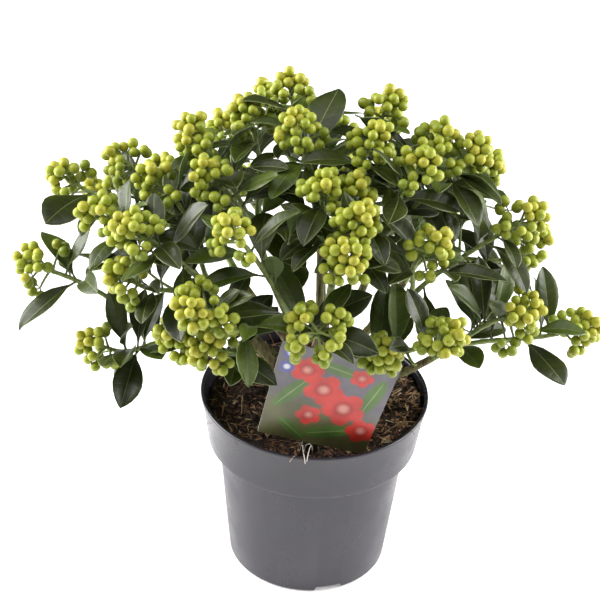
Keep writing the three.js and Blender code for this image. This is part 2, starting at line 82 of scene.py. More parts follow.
# A mass of foliage: its bough's ring on the stool and the way it faces, and for each shoot
# the way it points in degrees, its distance from the pot's axis and its height.
MASSES = {
    "west": ("middle", 178, (174, 200, 185), (169, 160, 200), (193, 170, 190)),
    "west_low": ("low", 186, (185, 220, 130), (196, 175, 80)),
    "southwest": ("middle", 226, (207, 155, 195), (206, 160, 155), (189, 128, 210)),
    "southwest_low": ("low", 234, (232, 140, 160), (228, 120, 110), (214, 130, 108)),
    "west_top": ("high", 172, (174, 100, 235), (199, 90, 225), (149, 75, 240)),
    "top": ("high", 84, (121, 60, 254), (43, 60, 255), (202, 25, 255)),
    "south": ("low", 272, (270, 110, 145), (235, 110, 210)),
    "south_top": ("high", 268, (267, 50, 230), (300, 45, 225), (290, 75, 215), (281, 90, 195)),
    "southeast_low": ("low", 312, (303, 95, 110), (317, 130, 130)),
    "east_low": ("low", 350, (345, 155, 125), (354, 200, 100)),
    "east": ("middle", 334, (0, 150, 182), (324, 100, 190)),
    "east_top": ("high", 356, (336, 75, 240), (10, 110, 228), (344, 35, 250), (13, 85, 240)),
    "northeast": ("middle", 32, (40, 170, 170), (57, 162, 170), (20, 178, 125)),
    "north": ("middle", 82, (90, 150, 180), (68, 118, 200), (113, 130, 210)),
    "northwest": ("middle", 132, (139, 180, 140), (123, 160, 172), (156, 195, 140)),
    "north_low": ("low", 84, (83, 170, 125), (112, 185, 105), (58, 190, 100)),
}

# ---- Sizes of the finer growth ---------------------------------------------------------------

BLADE = Sizes(
    rows=(0, 0.05, 0.12, 0.21, 0.32, 0.44, 0.56, 0.68, 0.79, 0.89, 0.96, 1),
    stalk=7,
    stalk_half=0.85,
    tip_half=0.12,
    base_power=1.15,  # how slowly the blade widens from its stalk
    tip_power=0.85,  # and narrows to its tip
    thickness=0.45,
    margin=0.42,
    midrib=0.38,
    rib_depth=0.6,
    bend_at=0.55,  # shares of half the width: where each half bends,
    most_margin=0.2,  # and the most that its margin
    most_midrib=0.3,  # and the midrib take up
)
# The rows and columns of a leaf that tell well enough whether it meets another.
COARSE = Sizes(rows=[2, 3, 5, 7, 9, 11], columns=[0, 3, 4, 7])
WIDTHS = (0.31, 0.44)  # a leaf's width as a share of its length
RAISED = 8  # how much steeper than the solids' a leaf sets off, before it arches over
LOOSENESS = 30  # how far its angle strays from theirs
SHED = Sizes(steepness=0.15, share=0.7)  # leaves that hang more steeply are mostly shed
TO_LIGHT = (0.4, 1.4)  # how strongly a hanging leaf turns up to the light
LOWEST_OVER_POT = 32  # above and beyond the rim, where leaves have been shed in the shade
EDGE_DROOP = 0.2  # how much an edge leaf droops, as a share of the others' droop

# The leaves that shape the crown's edge, each grown before the others: its mass and shoot, how
# far back from the shoot's tip, the way it points and its rise in degrees, its length, and its
# width as a share of that.
EDGE_LEAVES = (
    ("west", 0, 8, 230, 10, 66, 0.48),
    ("west_low", 0, 20, 134, 40, 56, 0.4),
    ("west_low", 0, 10, 30, 60, 42, 0.34),
    ("west_low", 0, 26, 325, 60, 50, 0.38),
    ("west_low", 0, 20, 214, -17, 60, 0.38),
    ("west_low", 1, 10, 150, 58, 54, 0.42),
    ("west_low", 1, 20, 80, 70, 48, 0.34),
    ("west_low", 1, 24, 50, 60, 46, 0.42),
    ("west_low", 1, 20, 262, -28, 51, 0.46),
    ("west_low", 1, 24, 295, 22, 46, 0.44),
    ("west_low", 1, 24, 230, -20, 38, 0.4),
    ("southwest_low", 1, 32, 260, 2, 41, 0.42),
    ("east_low", 1, 28, 305, -9, 54, 0.48),
    ("east_low", 0, 52, 290, 16, 50, 0.4),
    ("east_low", 1, 8, 100, 60, 54, 0.36),
    ("east_low", 0, 24, 130, 70, 60, 0.36),
    ("east_low", 0, 16, 115, 66, 54, 0.34),
    ("east_low", 0, 26, 142, 50, 46, 0.4),
    ("east_low", 0, 30, 215, 30, 42, 0.36),
    ("east", 0, 8, 20, -26, 62, 0.34),
    ("top", 2, 10, 63, 32, 64, 0.5),
    ("east_top", 1, 8, 180, 30, 48, 0.43),
    ("east_top", 1, 8, 320, -10, 48, 0.4),
    ("east_top", 1, 12, 300, -20, 50, 0.42),
    ("northeast", 0, 52, 300, 10, 50, 0.46),
    ("south", 1, 80, 90, 20, 58, 0.5),
    ("south", 1, 84, 230, 20, 64, 0.42),
    ("south", 1, 56, 270, 70, 42, 0.34),
    ("west_top", 2, 56, 110, 0, 54, 0.4),
    ("west_top", 2, 68, 60, 10, 50, 0.4),
    ("east", 1, 44, 112, 28, 54, 0.4),
    ("east", 0, 76, 285, -60, 44, 0.42),
)
# The leaves that have fallen: the mass, the shoot and the leaf's number back from its tip,
# which goes on over the leaves of the side shoot.
FALLEN = {
    ("west", 0, 2), ("west", 1, 2), ("west_low", 0, 1), ("southwest_low", 1, 3),
    ("southwest_low", 1, 4), ("top", 1, 1), ("southeast_low", 1, 8), ("southeast_low", 1, 9),
    ("southeast_low", 1, 11), ("east_low", 0, 1), ("east_low", 1, 3), ("east_low", 1, 6),
    ("east_low", 1, 11), ("northeast", 0, 11), ("north", 1, 0), ("south", 1, 7),
    ("south_top", 2, 6), ("south_top", 3, 1), ("south_top", 3, 6), ("southwest_low", 2, 4),
    ("northeast", 2, 15), ("east_top", 1, 6), ("south_top", 1, 9), ("south_top", 0, 2),
    ("north_low", 2, 7), ("south", 1, 11), ("west", 1, 10), ("east", 1, 11), ("west", 0, 3),
    ("north_low", 2, 2),
}

# Short leafy shoots low on the twigs. Each is tried in several ways round its twig.
SIDE_SHOOT = Sizes(first_back=0.42, next_back=0.24, length=30, spread=8, angle=58, rise=0.6,
                   root_radius=1.3, tip_radius=0.9, shortest_twig=62, ways=9, next_way=40,
                   leaves=4, end_back=9, leaf_length=44, length_spread=(0.8, 1.25),
                   young_angle=28, old_angle=86, angle_spread=6, turn_spread=25)
HEAD = Sizes(branches=6, branch_radius=0.85, longest=14, shortest=9, widest=84, narrowest=34,
             top=8, cluster=6.0, berries=(3, 4), berry_radius=(3.5, 4.6), stalk_radius=0.55,
             full=0.3, open_narrowest=66, open_branches=9, broad=1.1, more_on_top=2,
             size_spread=(0.95, 1.05), height_spread=(0.92, 1.1), angle_spread=6, turn_spread=40,
             length_spread=(0.85, 1.08), opening=(20, 88))
NO_SHOOT = -1  # the number of what no shoot owns
KNOTS = Sizes(rise=0.16, spacing=1.9)  # swellings along the twigs
# How the berries are pushed apart: how often, how strongly, and how strongly each is drawn back.
SETTLING = Sizes(rounds=45, push=0.3, pull=0.03, gap=0.12, off_axis=1.2)
# How broad each shoot's head is, in the order of its mass's shoots.
HEAD_SIZES = {
    "west": (0.95, 0.88, 1),
    "west_low": (1.08, 1.02),
    "southwest": (1.12, 1, 0.9),
    "southwest_low": (1.15, 1, 0.85),
    "west_top": (1, 0.92, 0.9),
    "top": (1, 0.82, 0.95),
    "south": (1.25, 1.08),
    "south_top": (0.85, 0.85, 0.95, 0.98),
    "southeast_low": (0.7, 0.95),
    "east_low": (1.32, 1),
    "east": (1.15, 1),
    "east_top": (0.86, 0.95, 0.9, 0.86),
    "northeast": (0.72, 0.9, 1),
}
OPEN_HEADS = {("south", 0)}  # heads whose middle is open, with the berries in a ring round it

# ---- Small helpers ---------------------------------------------------------------------------

UP = np.array([0.0, 0.0, 1.0])
NEARLY_UPRIGHT = 0.9


def unit(vector):
    return vector / np.linalg.norm(vector)


def mix(a, b, share):
    return a + (b - a) * share


def around(degrees, out, up):
    """A point given by its way round the pot, its distance from the axis and its height."""
    turn = math.radians(degrees)
    return np.array([out * math.cos(turn), out * math.sin(turn), up])


def seeded(seed):
    """A steady stream of numbers from 0 to 1, the same one that the solids grow by."""
    word = 0xFFFFFFFF
    state = seed
    while True:
        state = (state + 0x6D2B79F5) & word
        mixed = (state ^ (state >> 15)) * (state | 1) & word
        mixed ^= (mixed + (mixed ^ (mixed >> 7)) * (mixed | 61)) & word
        yield (mixed ^ (mixed >> 14)) / 4294967296


def square_to(axis):
    """Two directions square to an axis and to each other."""
    other = np.array([0.0, 1.0, 0.0]) if abs(axis[2]) > NEARLY_UPRIGHT else UP
    side = unit(np.cross(axis, other))
    return side, np.cross(axis, side)


def turned_from(axis, angle, about):
    """The direction at an angle from an axis, turned about it. Both are in radians."""
    side, other = square_to(axis)
    flat = side * math.cos(about) + other * math.sin(about)
    return flat * math.sin(angle) + axis * math.cos(angle)


def facing(axis):
    """A turn, as a matrix whose rows are the turned X, Y and Z, that brings +Z to an axis."""
    side, other = square_to(axis)
    return np.array([side, other, axis])


class Line:
    """A curve pulled by its corners and read by its own length, from 0 to 1."""

    def __init__(self, *corners):
        t = np.linspace(0, 1, 81)[:, None]
        rows = [np.repeat(corner[None], len(t), axis=0) for corner in corners]
        while len(rows) > 1:
            rows = [mix(a, b, t) for a, b in zip(rows, rows[1:])]
        self.points = rows[0]
        steps = np.linalg.norm(np.diff(self.points, axis=0), axis=1)
        self.reach = np.concatenate([[0], np.cumsum(steps)])
        self.length = self.reach[-1]

    def at(self, share):
        """The place at a share of the length, or a row of places for a row of shares."""
        reach = np.asarray(share) * self.length
        return np.stack([np.interp(reach, self.reach, side) for side in self.points.T], axis=-1)

    def heading(self, share):
        return unit(self.at(min(share + 0.02, 1)) - self.at(max(share - 0.02, 0)))


# ---- Meshes ----------------------------------------------------------------------------------

MAP = "OFBake"  # the name of a piece's own map


class Heap:
    """Closed shapes gathered into one mesh. A face is a row of four corners, of which the
    last is -1 on a triangle."""

    def __init__(self, base=(0, 0, 0)):
        self.base = np.array(base, float)
        self.count = 0
        self.points, self.faces, self.looks, self.marks = [], [], [], []

    def add(self, points, faces, looks=0, marks=None):
        """looks is the number of a material, or one for each face. marks are the places of
        each face's corners on the piece's own map."""
        self.points.append(np.asarray(points, float).reshape(-1, 3))
        self.faces.append(np.where(faces < 0, -1, faces + self.count))
        self.looks.append(np.broadcast_to(looks, len(faces)))
        if marks is not None:
            self.marks.append(marks)
        self.count += len(self.points[-1])

    def mesh(self, name):
        """All of it as one mesh, in metres."""
        corners = np.concatenate(self.faces)
        used = corners >= 0
        totals = used.sum(1)
        made = bpy.data.meshes.new(name)
        made.vertices.add(self.count)
        places = (np.concatenate(self.points) + self.base) * MM
        made.vertices.foreach_set("co", places.astype(np.float32).ravel())
        made.loops.add(int(totals.sum()))
        made.loops.foreach_set("vertex_index", corners[used].astype(np.int32))
        made.polygons.add(len(corners))
        made.polygons.foreach_set("loop_start", (np.cumsum(totals) - totals).astype(np.int32))
        made.polygons.foreach_set("material_index", np.concatenate(self.looks).astype(np.int32))
        made.polygons.foreach_set("use_smooth", np.ones(len(corners), bool))
        if self.marks:
            layer = made.uv_layers.new(name=MAP)
            spots = np.concatenate(self.marks)[used].astype(np.float32)
            layer.uv.foreach_set("vector", spots.ravel())
        made.update(calc_edges=True)
        made.validate()
        return made


def piece(name, mesh, materials, slot, *stands_for, sharp=None):
    """A finished piece on the plant's one body. sharp is the angle past which edges show."""
    made = bpy.data.objects.new(name, mesh)
    bpy.context.scene.collection.objects.link(made)
    for material in materials:
        mesh.materials.append(material)
    if sharp:
        mesh.set_sharp_from_angle(angle=math.radians(sharp))
    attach(made, "root")
    if stands_for:
        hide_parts(*stands_for)
    return made


@lru_cache(None)
def tube_faces(rows, sides):
    """The faces of a closed rod whose points are its first end, its rings and its last end."""
    turn = np.arange(sides)
    ahead = (turn + 1) % sides
    rings = 1 + sides * np.arange(rows - 1)[:, None]
    quads = np.stack([rings + turn, rings + ahead, rings + sides + ahead, rings + sides + turn], -1)
    last = 1 + sides * (rows - 1)
    none = np.full(sides, -1)
    first_end = np.stack([none + 1, 1 + ahead, 1 + turn, none], -1)
    last_end = np.stack([none + 1 + rows * sides, last + turn, last + ahead, none], -1)
    return np.concatenate([quads.reshape(-1, 4), first_end, last_end])


def tube(line, radii, sides):
    """A closed rod along a row of points. radii has one number for each point, or a row of
    them with one for each side."""
    ahead = np.gradient(line, axis=0)
    ahead /= np.linalg.norm(ahead, axis=1)[:, None]
    square = np.eye(3)[np.abs(ahead).max(0).argmin()]
    side = np.cross(ahead, square)
    side /= np.linalg.norm(side, axis=1)[:, None]
    other = np.cross(ahead, side)
    turn = 2 * np.pi * np.arange(sides) / sides
    ways = np.cos(turn)[:, None] * side[:, None] + np.sin(turn)[:, None] * other[:, None]
    radii = np.broadcast_to(np.reshape(radii, (len(line), -1)), (len(line), sides))
    rings = line[:, None] + ways * radii[:, :, None]
    points = np.concatenate([line[:1], rings.reshape(-1, 3), line[-1:]])
    return points, tube_faces(len(line), sides)


def lathe(outline, sides):
    """A body turned about +Z from rows of radius and height. The first and the last row lie
    on the axis, and the rows between run up the body's outside."""
    radii, heights = np.array(outline, float).T
    turn = 2 * np.pi * np.arange(sides) / sides
    ring = np.stack([np.cos(turn), np.sin(turn), 0 * turn], -1)
    rings = ring * radii[1:-1, None, None] + UP * heights[1:-1, None, None]
    ends = UP * heights[[0, -1], None]
    points = np.concatenate([ends[:1], rings.reshape(-1, 3), ends[1:]])
    return points, tube_faces(len(radii) - 2, sides)


def grid_faces(rows, columns):
    """The faces of a sheet of points, row after row."""
    grid = np.arange(rows * columns).reshape(rows, columns)
    corners = [grid[:-1, :-1], grid[:-1, 1:], grid[1:, 1:], grid[1:, :-1]]
    return np.stack(corners, -1).reshape(-1, 4)


@lru_cache(None)
def slab_faces(rows, columns):
    """The faces above, below and round the edge of a thin body. Its points are those of the
    sheet above and then those of the sheet below."""
    count = rows * columns
    grid = np.arange(count).reshape(rows, columns)
    above = grid_faces(rows, columns)
    edge = np.concatenate([grid[0], grid[1:, -1], grid[-1, -2::-1], grid[-2:0:-1, 0]])
    ahead = np.roll(edge, -1)
    rim = np.stack([edge + count, ahead + count, ahead, edge], -1)
    return above, above[:, ::-1] + count, rim


BOX_FACES = np.array([(0, 3, 2, 1), (4, 5, 6, 7), (0, 1, 5, 4), (1, 2, 6, 5), (2, 3, 7, 6),
                      (3, 0, 4, 7)])
BOX_CORNERS = np.array([(-1, -1, -1), (1, -1, -1), (1, 1, -1), (-1, 1, -1),
                        (-1, -1, 1), (1, -1, 1), (1, 1, 1), (-1, 1, 1)]) / 2


def rounded(outline, radius, steps):
    """An outline with its corners rounded in so many points, as far as its edges leave room."""
    spots = [np.array(spot, float) for spot in outline]
    made = [spots[0]]
    for before, corner, after in zip(spots, spots[1:], spots[2:]):
        into, out = before - corner, after - corner
        room = min(radius, 0.45 * np.linalg.norm(into), 0.45 * np.linalg.norm(out))
        start, end = corner + unit(into) * room, corner + unit(out) * room
        for t in np.linspace(0, 1, steps):
            made.append(mix(mix(start, corner, t), mix(corner, end, t), t))
    return made + [spots[-1]]


# ---- Shaders ---------------------------------------------------------------------------------


def paint(code):
    """A colour from its usual six-digit code, as the linear numbers of a shader."""
    parts = [int(code[i : i + 2], 16) / 255 for i in (0, 2, 4)]
    return [c / 12.92 if c <= 0.04045 else ((c + 0.055) / 1.055) ** 2.4 for c in parts] + [1]


def node(tree, kind, inputs=None, **settings):
    """A new node. inputs maps its sockets to numbers, colours or other nodes' sockets."""
    made = tree.nodes.new("ShaderNode" + kind)
    for name, value in settings.items():
        setattr(made, name, value)
    for name, value in (inputs or {}).items():
        if isinstance(value, bpy.types.NodeSocket):
            tree.links.new(value, made.inputs[name])
        else:
            made.inputs[name].default_value = value
    return made


def maths(tree, operation, *values, clamp=False):
    made = node(tree, "Math", dict(enumerate(values)), operation=operation, use_clamp=clamp)
    return made.outputs[0]


def blend(tree, share, a, b, how="MIX"):
    """Two colours mixed by a share, each a colour or another node's socket."""
    made = node(tree, "Mix", data_type="RGBA", blend_type=how)
    for socket, value in zip((made.inputs[0], made.inputs[6], made.inputs[7]), (share, a, b)):
        if isinstance(value, bpy.types.NodeSocket):
            tree.links.new(value, socket)
        else:
            socket.default_value = value
    return made.outputs[2]


def spread_out(tree, value, low, high, to_low=0.0, to_high=1.0):
    """A value between low and high, drawn out or in to lie between two others."""
    ends = {0: value, 1: low, 2: high, 3: to_low, 4: to_high}
    return node(tree, "MapRange", ends, clamp=True).outputs[0]


def new_effect(name, inputs, outputs):
    """An empty node group with named inputs, as name to starting value, and outputs."""
    tree = bpy.data.node_groups.new(name, "ShaderNodeTree")
    for label, value in inputs.items():
        socket = tree.interface.new_socket(label, in_out="INPUT", socket_type="NodeSocketFloat")
        socket.default_value = value
    for label in outputs:
        tree.interface.new_socket(label, in_out="OUTPUT", socket_type="NodeSocketFloat")
    given = tree.nodes.new("NodeGroupInput").outputs
    return tree, given, tree.nodes.new("NodeGroupOutput").inputs


def mottle_effect():
    """Cloudy patches. Size is the number of them in a metre."""
    tree, given, wanted = new_effect("Mottle", {"Size": 60, "Low": 0.35, "High": 0.65}, ["Mask"])
    place = node(tree, "TexCoord").outputs["Object"]
    cloud = node(tree, "TexNoise", {"Vector": place, "Scale": given["Size"], "Detail": 4})
    mask = spread_out(tree, cloud.outputs["Fac"], given["Low"], given["High"])
    tree.links.new(mask, wanted["Mask"])
    return tree


def grain_effect():
    """A fine uneven surface, coarse and fine grain together, as a height."""
    tree, given, wanted = new_effect("Grain", {"Size": 800, "Fine": 0.4}, ["Height"])
    place = node(tree, "TexCoord").outputs["Object"]
    coarse = node(tree, "TexNoise", {"Vector": place, "Scale": given["Size"], "Detail": 3})
    finer = maths(tree, "MULTIPLY", given["Size"], 4.3)
    fine = node(tree, "TexNoise", {"Vector": place, "Scale": finer, "Detail": 2})
    share = maths(tree, "MULTIPLY", fine.outputs["Fac"], given["Fine"])
    tree.links.new(maths(tree, "ADD", coarse.outputs["Fac"], share), wanted["Height"])
    return tree


def ridges_effect():
    """Long ridges that run up a limb: a height, and a mask of the furrows between them."""
    tree, given, wanted = new_effect("Ridges", {"Size": 420, "Stretch": 0.12}, ["Height", "Furrow"])
    place = node(tree, "TexCoord").outputs["Object"]
    parts = node(tree, "CombineXYZ", {0: 1.0, 1: 1.0, 2: given["Stretch"]}).outputs[0]
    drawn = node(tree, "VectorMath", {0: place, 1: parts}, operation="MULTIPLY").outputs[0]
    rough = node(tree, "TexNoise", {"Vector": drawn, "Scale": given["Size"], "Detail": 5})
    furrow = spread_out(tree, rough.outputs["Fac"], 0.52, 0.36)
    tree.links.new(rough.outputs["Fac"], wanted["Height"])
    tree.links.new(furrow, wanted["Furrow"])
    return tree


def veins_effect():
    """The side veins of a leaf, worked out on its own map: V runs along the leaf and U
    crosses it in one of LEAF_LOOKS strips."""
    tree, given, wanted = new_effect("Veins", {"Pairs": 8, "Sweep": 1.5}, ["Mask", "Height"])
    spot = node(tree, "UVMap", uv_map=MAP).outputs[0]
    parts = node(tree, "SeparateXYZ", {0: spot}).outputs
    strip = maths(tree, "FRACT", maths(tree, "MULTIPLY", parts[0], float(len(LEAF_LOOKS))))
    side = maths(tree, "ABSOLUTE", maths(tree, "SUBTRACT", strip, 0.5))
    swept = maths(tree, "MULTIPLY", side, given["Sweep"])
    phase = maths(tree, "SUBTRACT", maths(tree, "MULTIPLY", parts[1], given["Pairs"]), swept)
    off = maths(tree, "PINGPONG", phase, 0.5)
    line = spread_out(tree, off, 0.1, 0.0)
    swell = maths(tree, "MULTIPLY", off, 2.0)
    tree.links.new(line, wanted["Mask"])
    tree.links.new(maths(tree, "SUBTRACT", swell, line), wanted["Height"])
    return tree


class Finish:
    """A material under way: its node tree and its Principled shader."""

    effects = {}

    def __init__(self, name, roughness=0.5, **sockets):
        self.material = bpy.data.materials.new(name)
        self.material.use_nodes = True
        self.tree = self.material.node_tree
        self.shader = self.tree.nodes["Principled BSDF"]
        self.set("Roughness", roughness)
        for label, value in sockets.items():
            self.set(label.replace("_", " ").title(), value)

    def set(self, socket, value):
        if isinstance(value, bpy.types.NodeSocket):
            self.tree.links.new(value, self.shader.inputs[socket])
        else:
            self.shader.inputs[socket].default_value = value

    def effect(self, make, **inputs):
        """A shared effect in this material, with its own values."""
        if make not in Finish.effects:
            Finish.effects[make] = make()
        placed = self.tree.nodes.new("ShaderNodeGroup")
        placed.node_tree = Finish.effects[make]
        for label, value in inputs.items():
            placed.inputs[label.title()].default_value = value
        return placed.outputs

    def mottled(self, dark, pale, size, low=0.35, high=0.65):
        mask = self.effect(mottle_effect, size=size, low=low, high=high)["Mask"]
        return blend(self.tree, mask, paint(dark), paint(pale))

    def bump(self, height, depth, strength=1.0):
        """depth is in metres, from the lowest to the highest part of the height."""
        inputs = {"Height": height, "Distance": depth, "Strength": strength}
        self.set("Normal", node(self.tree, "Bump", inputs).outputs[0])


def leaf_blade(name, dark, pale, vein, roughness, coat):
    """A leaf's upper or under side, with paler veins that lie a little lower."""
    made = Finish(name, roughness, coat_weight=coat, coat_roughness=0.3)
    made.set("Specular IOR Level", 0.38)
    veins = made.effect(veins_effect)
    colour = made.mottled(dark, pale, size=45)
    share = maths(made.tree, "MULTIPLY", veins["Mask"], 0.35)
    made.set("Base Color", blend(made.tree, share, colour, paint(vein)))
    made.bump(veins["Height"], 0.00012, 0.5)
    return made.material


def plain_growth(name, dark, pale, roughness, size=250):
    """A smooth green or brown skin, a little uneven."""
    made = Finish(name, roughness)
    made.set("Base Color", made.mottled(dark, pale, size))
    made.bump(made.effect(grain_effect, size=1500)["Height"], 0.0001, 0.5)
    return made.material


def berry_skin(name, dark, pale):
    """A fruit's skin, dotted with fine pores and with a thin bloom on it."""
    made = Finish(name, 0.45, sheen_weight=0.14, sheen_roughness=0.35, subsurface_weight=0.1,
                  subsurface_scale=0.002)
    made.set("Base Color", made.mottled(dark, pale, size=160))
    made.bump(made.effect(grain_effect, size=2600)["Height"], 0.00008, 0.6)
    return made.material


def bark_skin():
    """Bark with furrows that run along the limb, mottled brown and green."""
    made = Finish("bark", 0.78)
    ridges = made.effect(ridges_effect)
    colour = made.mottled("6b5c3c", "7d7f4c", size=38)
    made.set("Base Color", blend(made.tree, ridges["Furrow"], colour, paint("40331f")))
    made.bump(ridges["Height"], 0.0008)
    return made.material


def pot_plastic(name, dark, pale, roughness):
    """Moulded plastic with a satin skin, rubbed paler in streaks and a little dusty."""
    made = Finish(name, roughness)
    colour = made.mottled(dark, pale, size=9, low=0.25, high=0.8)
    rubs = made.effect(ridges_effect, size=70, stretch=0.06)["Furrow"]
    rubs = maths(made.tree, "MULTIPLY", rubs, 0.012)
    colour = blend(made.tree, rubs, colour, paint("a09ca2"))
    dust = made.effect(mottle_effect, size=260, low=0.6, high=0.9)["Mask"]
    dust = maths(made.tree, "MULTIPLY", dust, 0.06)
    made.set("Base Color", blend(made.tree, dust, colour, paint("5a4c40")))
    made.set("Specular IOR Level", 0.53)
    dull = made.effect(mottle_effect, size=30)["Mask"]
    made.set("Roughness", spread_out(made.tree, dull, 0, 1, roughness - 0.06, roughness + 0.08))
    made.bump(made.effect(grain_effect, size=120, fine=0.1)["Height"], 0.00008, 0.3)
    return made.material


def peat_surface():
    """Dark peat with paler crumbs."""
    made = Finish("peat", 0.92)
    colour = made.mottled("100906", "2a1a13", size=170)
    crumbs = made.effect(mottle_effect, size=520, low=0.58, high=0.66)["Mask"]
    made.set("Base Color", blend(made.tree, crumbs, colour, paint("614634")))
    made.bump(made.effect(grain_effect, size=700, fine=0.6)["Height"], 0.0016)
    return made.material


# ---- Pot -------------------------------------------------------------------------------------

TURNED = Sizes(sides=180, rounding=1.2, steps=4)  # how finely the pot is turned and rounded


def pot_inside(inset):
    """The pot's inner face from its floor to its rim, drawn in by `inset`."""
    return [
        (POT.foot_radius - POT.wall - inset, POT.floor + inset),
        (POT.neck_radius - POT.wall - inset, POT.collar_foot + POT.wall / 2),
        (POT.collar_radius - POT.wall - inset, POT.collar_foot + 2 * POT.wall),
        (POT.rim_radius - POT.bead_depth - POT.wall - inset, POT.height),
    ]


def drain_slots():
    """Slanting blocks that cut the slots through the foot of the wall."""
    heap = Heap()
    for i in range(DRAIN.count):
        turn = math.radians(DRAIN.first + i * 360 / DRAIN.count)
        out = np.array([math.cos(turn), math.sin(turn), 0])
        across = np.array([-math.sin(turn), math.cos(turn), 0])
        inner = out * (POT.foot_radius - DRAIN.reach / 2)
        ends = [(-DRAIN.foot_width / 2, -1), (DRAIN.foot_width / 2, -1),
                (DRAIN.top_width / 2, DRAIN.height), (-DRAIN.top_width / 2, DRAIN.height)]
        near = [inner + across * x + UP * z for x, z in ends]
        far = [spot + out * DRAIN.reach for spot in near]
        heap.add(near + far, BOX_FACES)
    return heap.mesh("slots")


def cut(mesh, cutter):
    """A mesh with another one cut out of it."""
    whole = bpy.data.objects.new("whole", mesh)
    blades = bpy.data.objects.new("blades", cutter)
    for item in (whole, blades):
        bpy.context.scene.collection.objects.link(item)
    taken = whole.modifiers.new("cut", "BOOLEAN")
    taken.operation = "DIFFERENCE"
    taken.solver = "EXACT"
    taken.object = blades
    bpy.context.view_layer.update()
    seen = whole.evaluated_get(bpy.context.evaluated_depsgraph_get())
    made = bpy.data.meshes.new_from_object(seen)
    for item in (whole, blades):
        bpy.data.objects.remove(item)
    return made


def make_pot():
    """The pot, turned in one with its bead, and with the slots cut through its foot."""
    rim = POT.height
    bead_foot = rim - POT.bead
    outside = [
        (0, 0),
        (POT.foot_radius - 9, 0),
        (POT.foot_radius - POT.foot_edge, 0),
        (POT.foot_radius, POT.foot_edge),
        (POT.neck_radius, POT.collar_foot - 1),
        (POT.neck_radius + 0.4, POT.collar_foot),
        (POT.collar_radius - 1, POT.collar_foot),
        (POT.collar_radius, POT.collar_foot + 1),
        (POT.collar_radius + 0.5, POT.collar_foot + 4),
        (POT.rim_radius - POT.bead_depth, bead_foot),
        (POT.rim_radius - 0.3, bead_foot),
        (POT.rim_radius, bead_foot + 0.5),
        (POT.rim_radius, rim - 0.7),
    ]
    inside = pot_inside(0)[::-1]
    inside[0] = (inside[0][0], rim - 0.4)
    outline = outside + [(POT.rim_radius - 0.5, rim)] + inside + [(0, POT.floor)]
    points, faces = lathe(rounded(outline, TURNED.rounding, TURNED.steps), TURNED.sides)
    heights = points[faces[:, :3], 2].mean(1)
    reach = np.linalg.norm(points[faces[:, :3], :2], axis=2).mean(1)
    # A face closer to the axis than the middle of the wall is on the inside.
    in_wall = np.interp(heights, [0, POT.collar_foot, POT.collar_foot + 3, rim],
                        [POT.foot_radius - 1, POT.neck_radius - 1, POT.collar_radius - 1.2,
                         POT.rim_radius - 2])
    inner = (heights > POT.floor - 0.1) & (reach < in_wall)
    heap = Heap()
    heap.add(points, faces, np.where(inner, 1, 0))
    body = cut(heap.mesh("pot_shell"), drain_slots())
    materials = [pot_plastic("grey_plastic", "201e26", "292632", 0.3),
                 pot_plastic("black_plastic", "1d1f22", "2c2e32", 0.5)]
    body.materials.clear()
    piece("nursery_pot", body, materials, "pot_plastic", "pot", sharp=40)


# ---- Soil ------------------------------------------------------------------------------------


# The soil's top: how fine it is, how far it comes down the wall, and how it dips there.
SOIL_TOP = Sizes(rings=75, sides=200, skirt=7, dip=1.6, dip_width=6)
CRUMBS = Sizes(clod=11, clods=1.5, crumb=2.3, crumbs=0.55)  # their breadth and their rise
BANK = Sizes(height=10, foot=36, reach=44)  # soil heaped against the pot's right side
HOLLOW = Sizes(depth=7, x=38, y=-74, width=24, length=14)  # pressed down before the label


def soil_height(x, y):
    """The soil's height at a place: level round the stool, uneven further out."""
    long, wide, slanting = SOIL.waves
    share = np.clip((np.hypot(x, y) - SOIL.flat) / SOIL.slope, 0, 1)
    share = share * share * (3 - 2 * share)
    waves = np.sin(x / long + 1) * np.cos(y / wide) + 0.6 * np.sin((x - y) / slanting)
    bank = BANK.height * np.clip((np.hypot(x, y) - BANK.foot) / BANK.reach, 0, 1)
    bank = bank * np.clip(0.5 + (x + 0.5 * y) / BANK.reach / 2, 0, 1)
    off = ((x - HOLLOW.x) / HOLLOW.width) ** 2 + ((y - HOLLOW.y) / HOLLOW.length) ** 2
    return SOIL.level + SOIL.rough * share * waves + bank - HOLLOW.depth * np.exp(-off)


def crumbled(x, y):
    """The rise and fall of the soil's clods and crumbs at a place."""
    clods = noise.fractal(Vector((x / CRUMBS.clod, y / CRUMBS.clod, 3)), 0.9, 2.1, 5)
    crumbs = noise.noise(Vector((x / CRUMBS.crumb, y / CRUMBS.crumb, 7)))
    return CRUMBS.clods * clods + CRUMBS.crumbs * crumbs


def soil_radius(level=SOIL.level):
    """How far the soil reaches at a height: as far as the pot's inner face."""
    shoulder, rim = pot_inside(GAP)[2:]
    share = (level - shoulder[1]) / (rim[1] - shoulder[1])
    return mix(shoulder[0], rim[0], share) - GAP


def make_soil():
    """The root ball, which fills the pot, with its crumbled top."""
    edge = soil_radius()
    foot, neck, shoulder = pot_inside(GAP)[:3]
    below = SOIL.level - SOIL_TOP.skirt
    side = [(0, foot[1]), foot, neck, shoulder, (soil_radius(below), below)]
    top = [(edge * share, SOIL.level) for share in np.linspace(1, 0, SOIL_TOP.rings)]
    points, faces = lathe(side + top, SOIL_TOP.sides)
    for i in np.flatnonzero(points[:, 2] > below + 1):
        x, y = points[i, :2]
        dip = max(0, 1 - (edge - math.hypot(x, y)) / SOIL_TOP.dip_width)
        points[i, 2] = soil_height(x, y) + crumbled(x, y) - SOIL_TOP.dip * dip
    heap = Heap()
    heap.add(points, faces)
    piece("root_ball", heap.mesh("root_ball"), [peat_surface()], "peat", "soil")


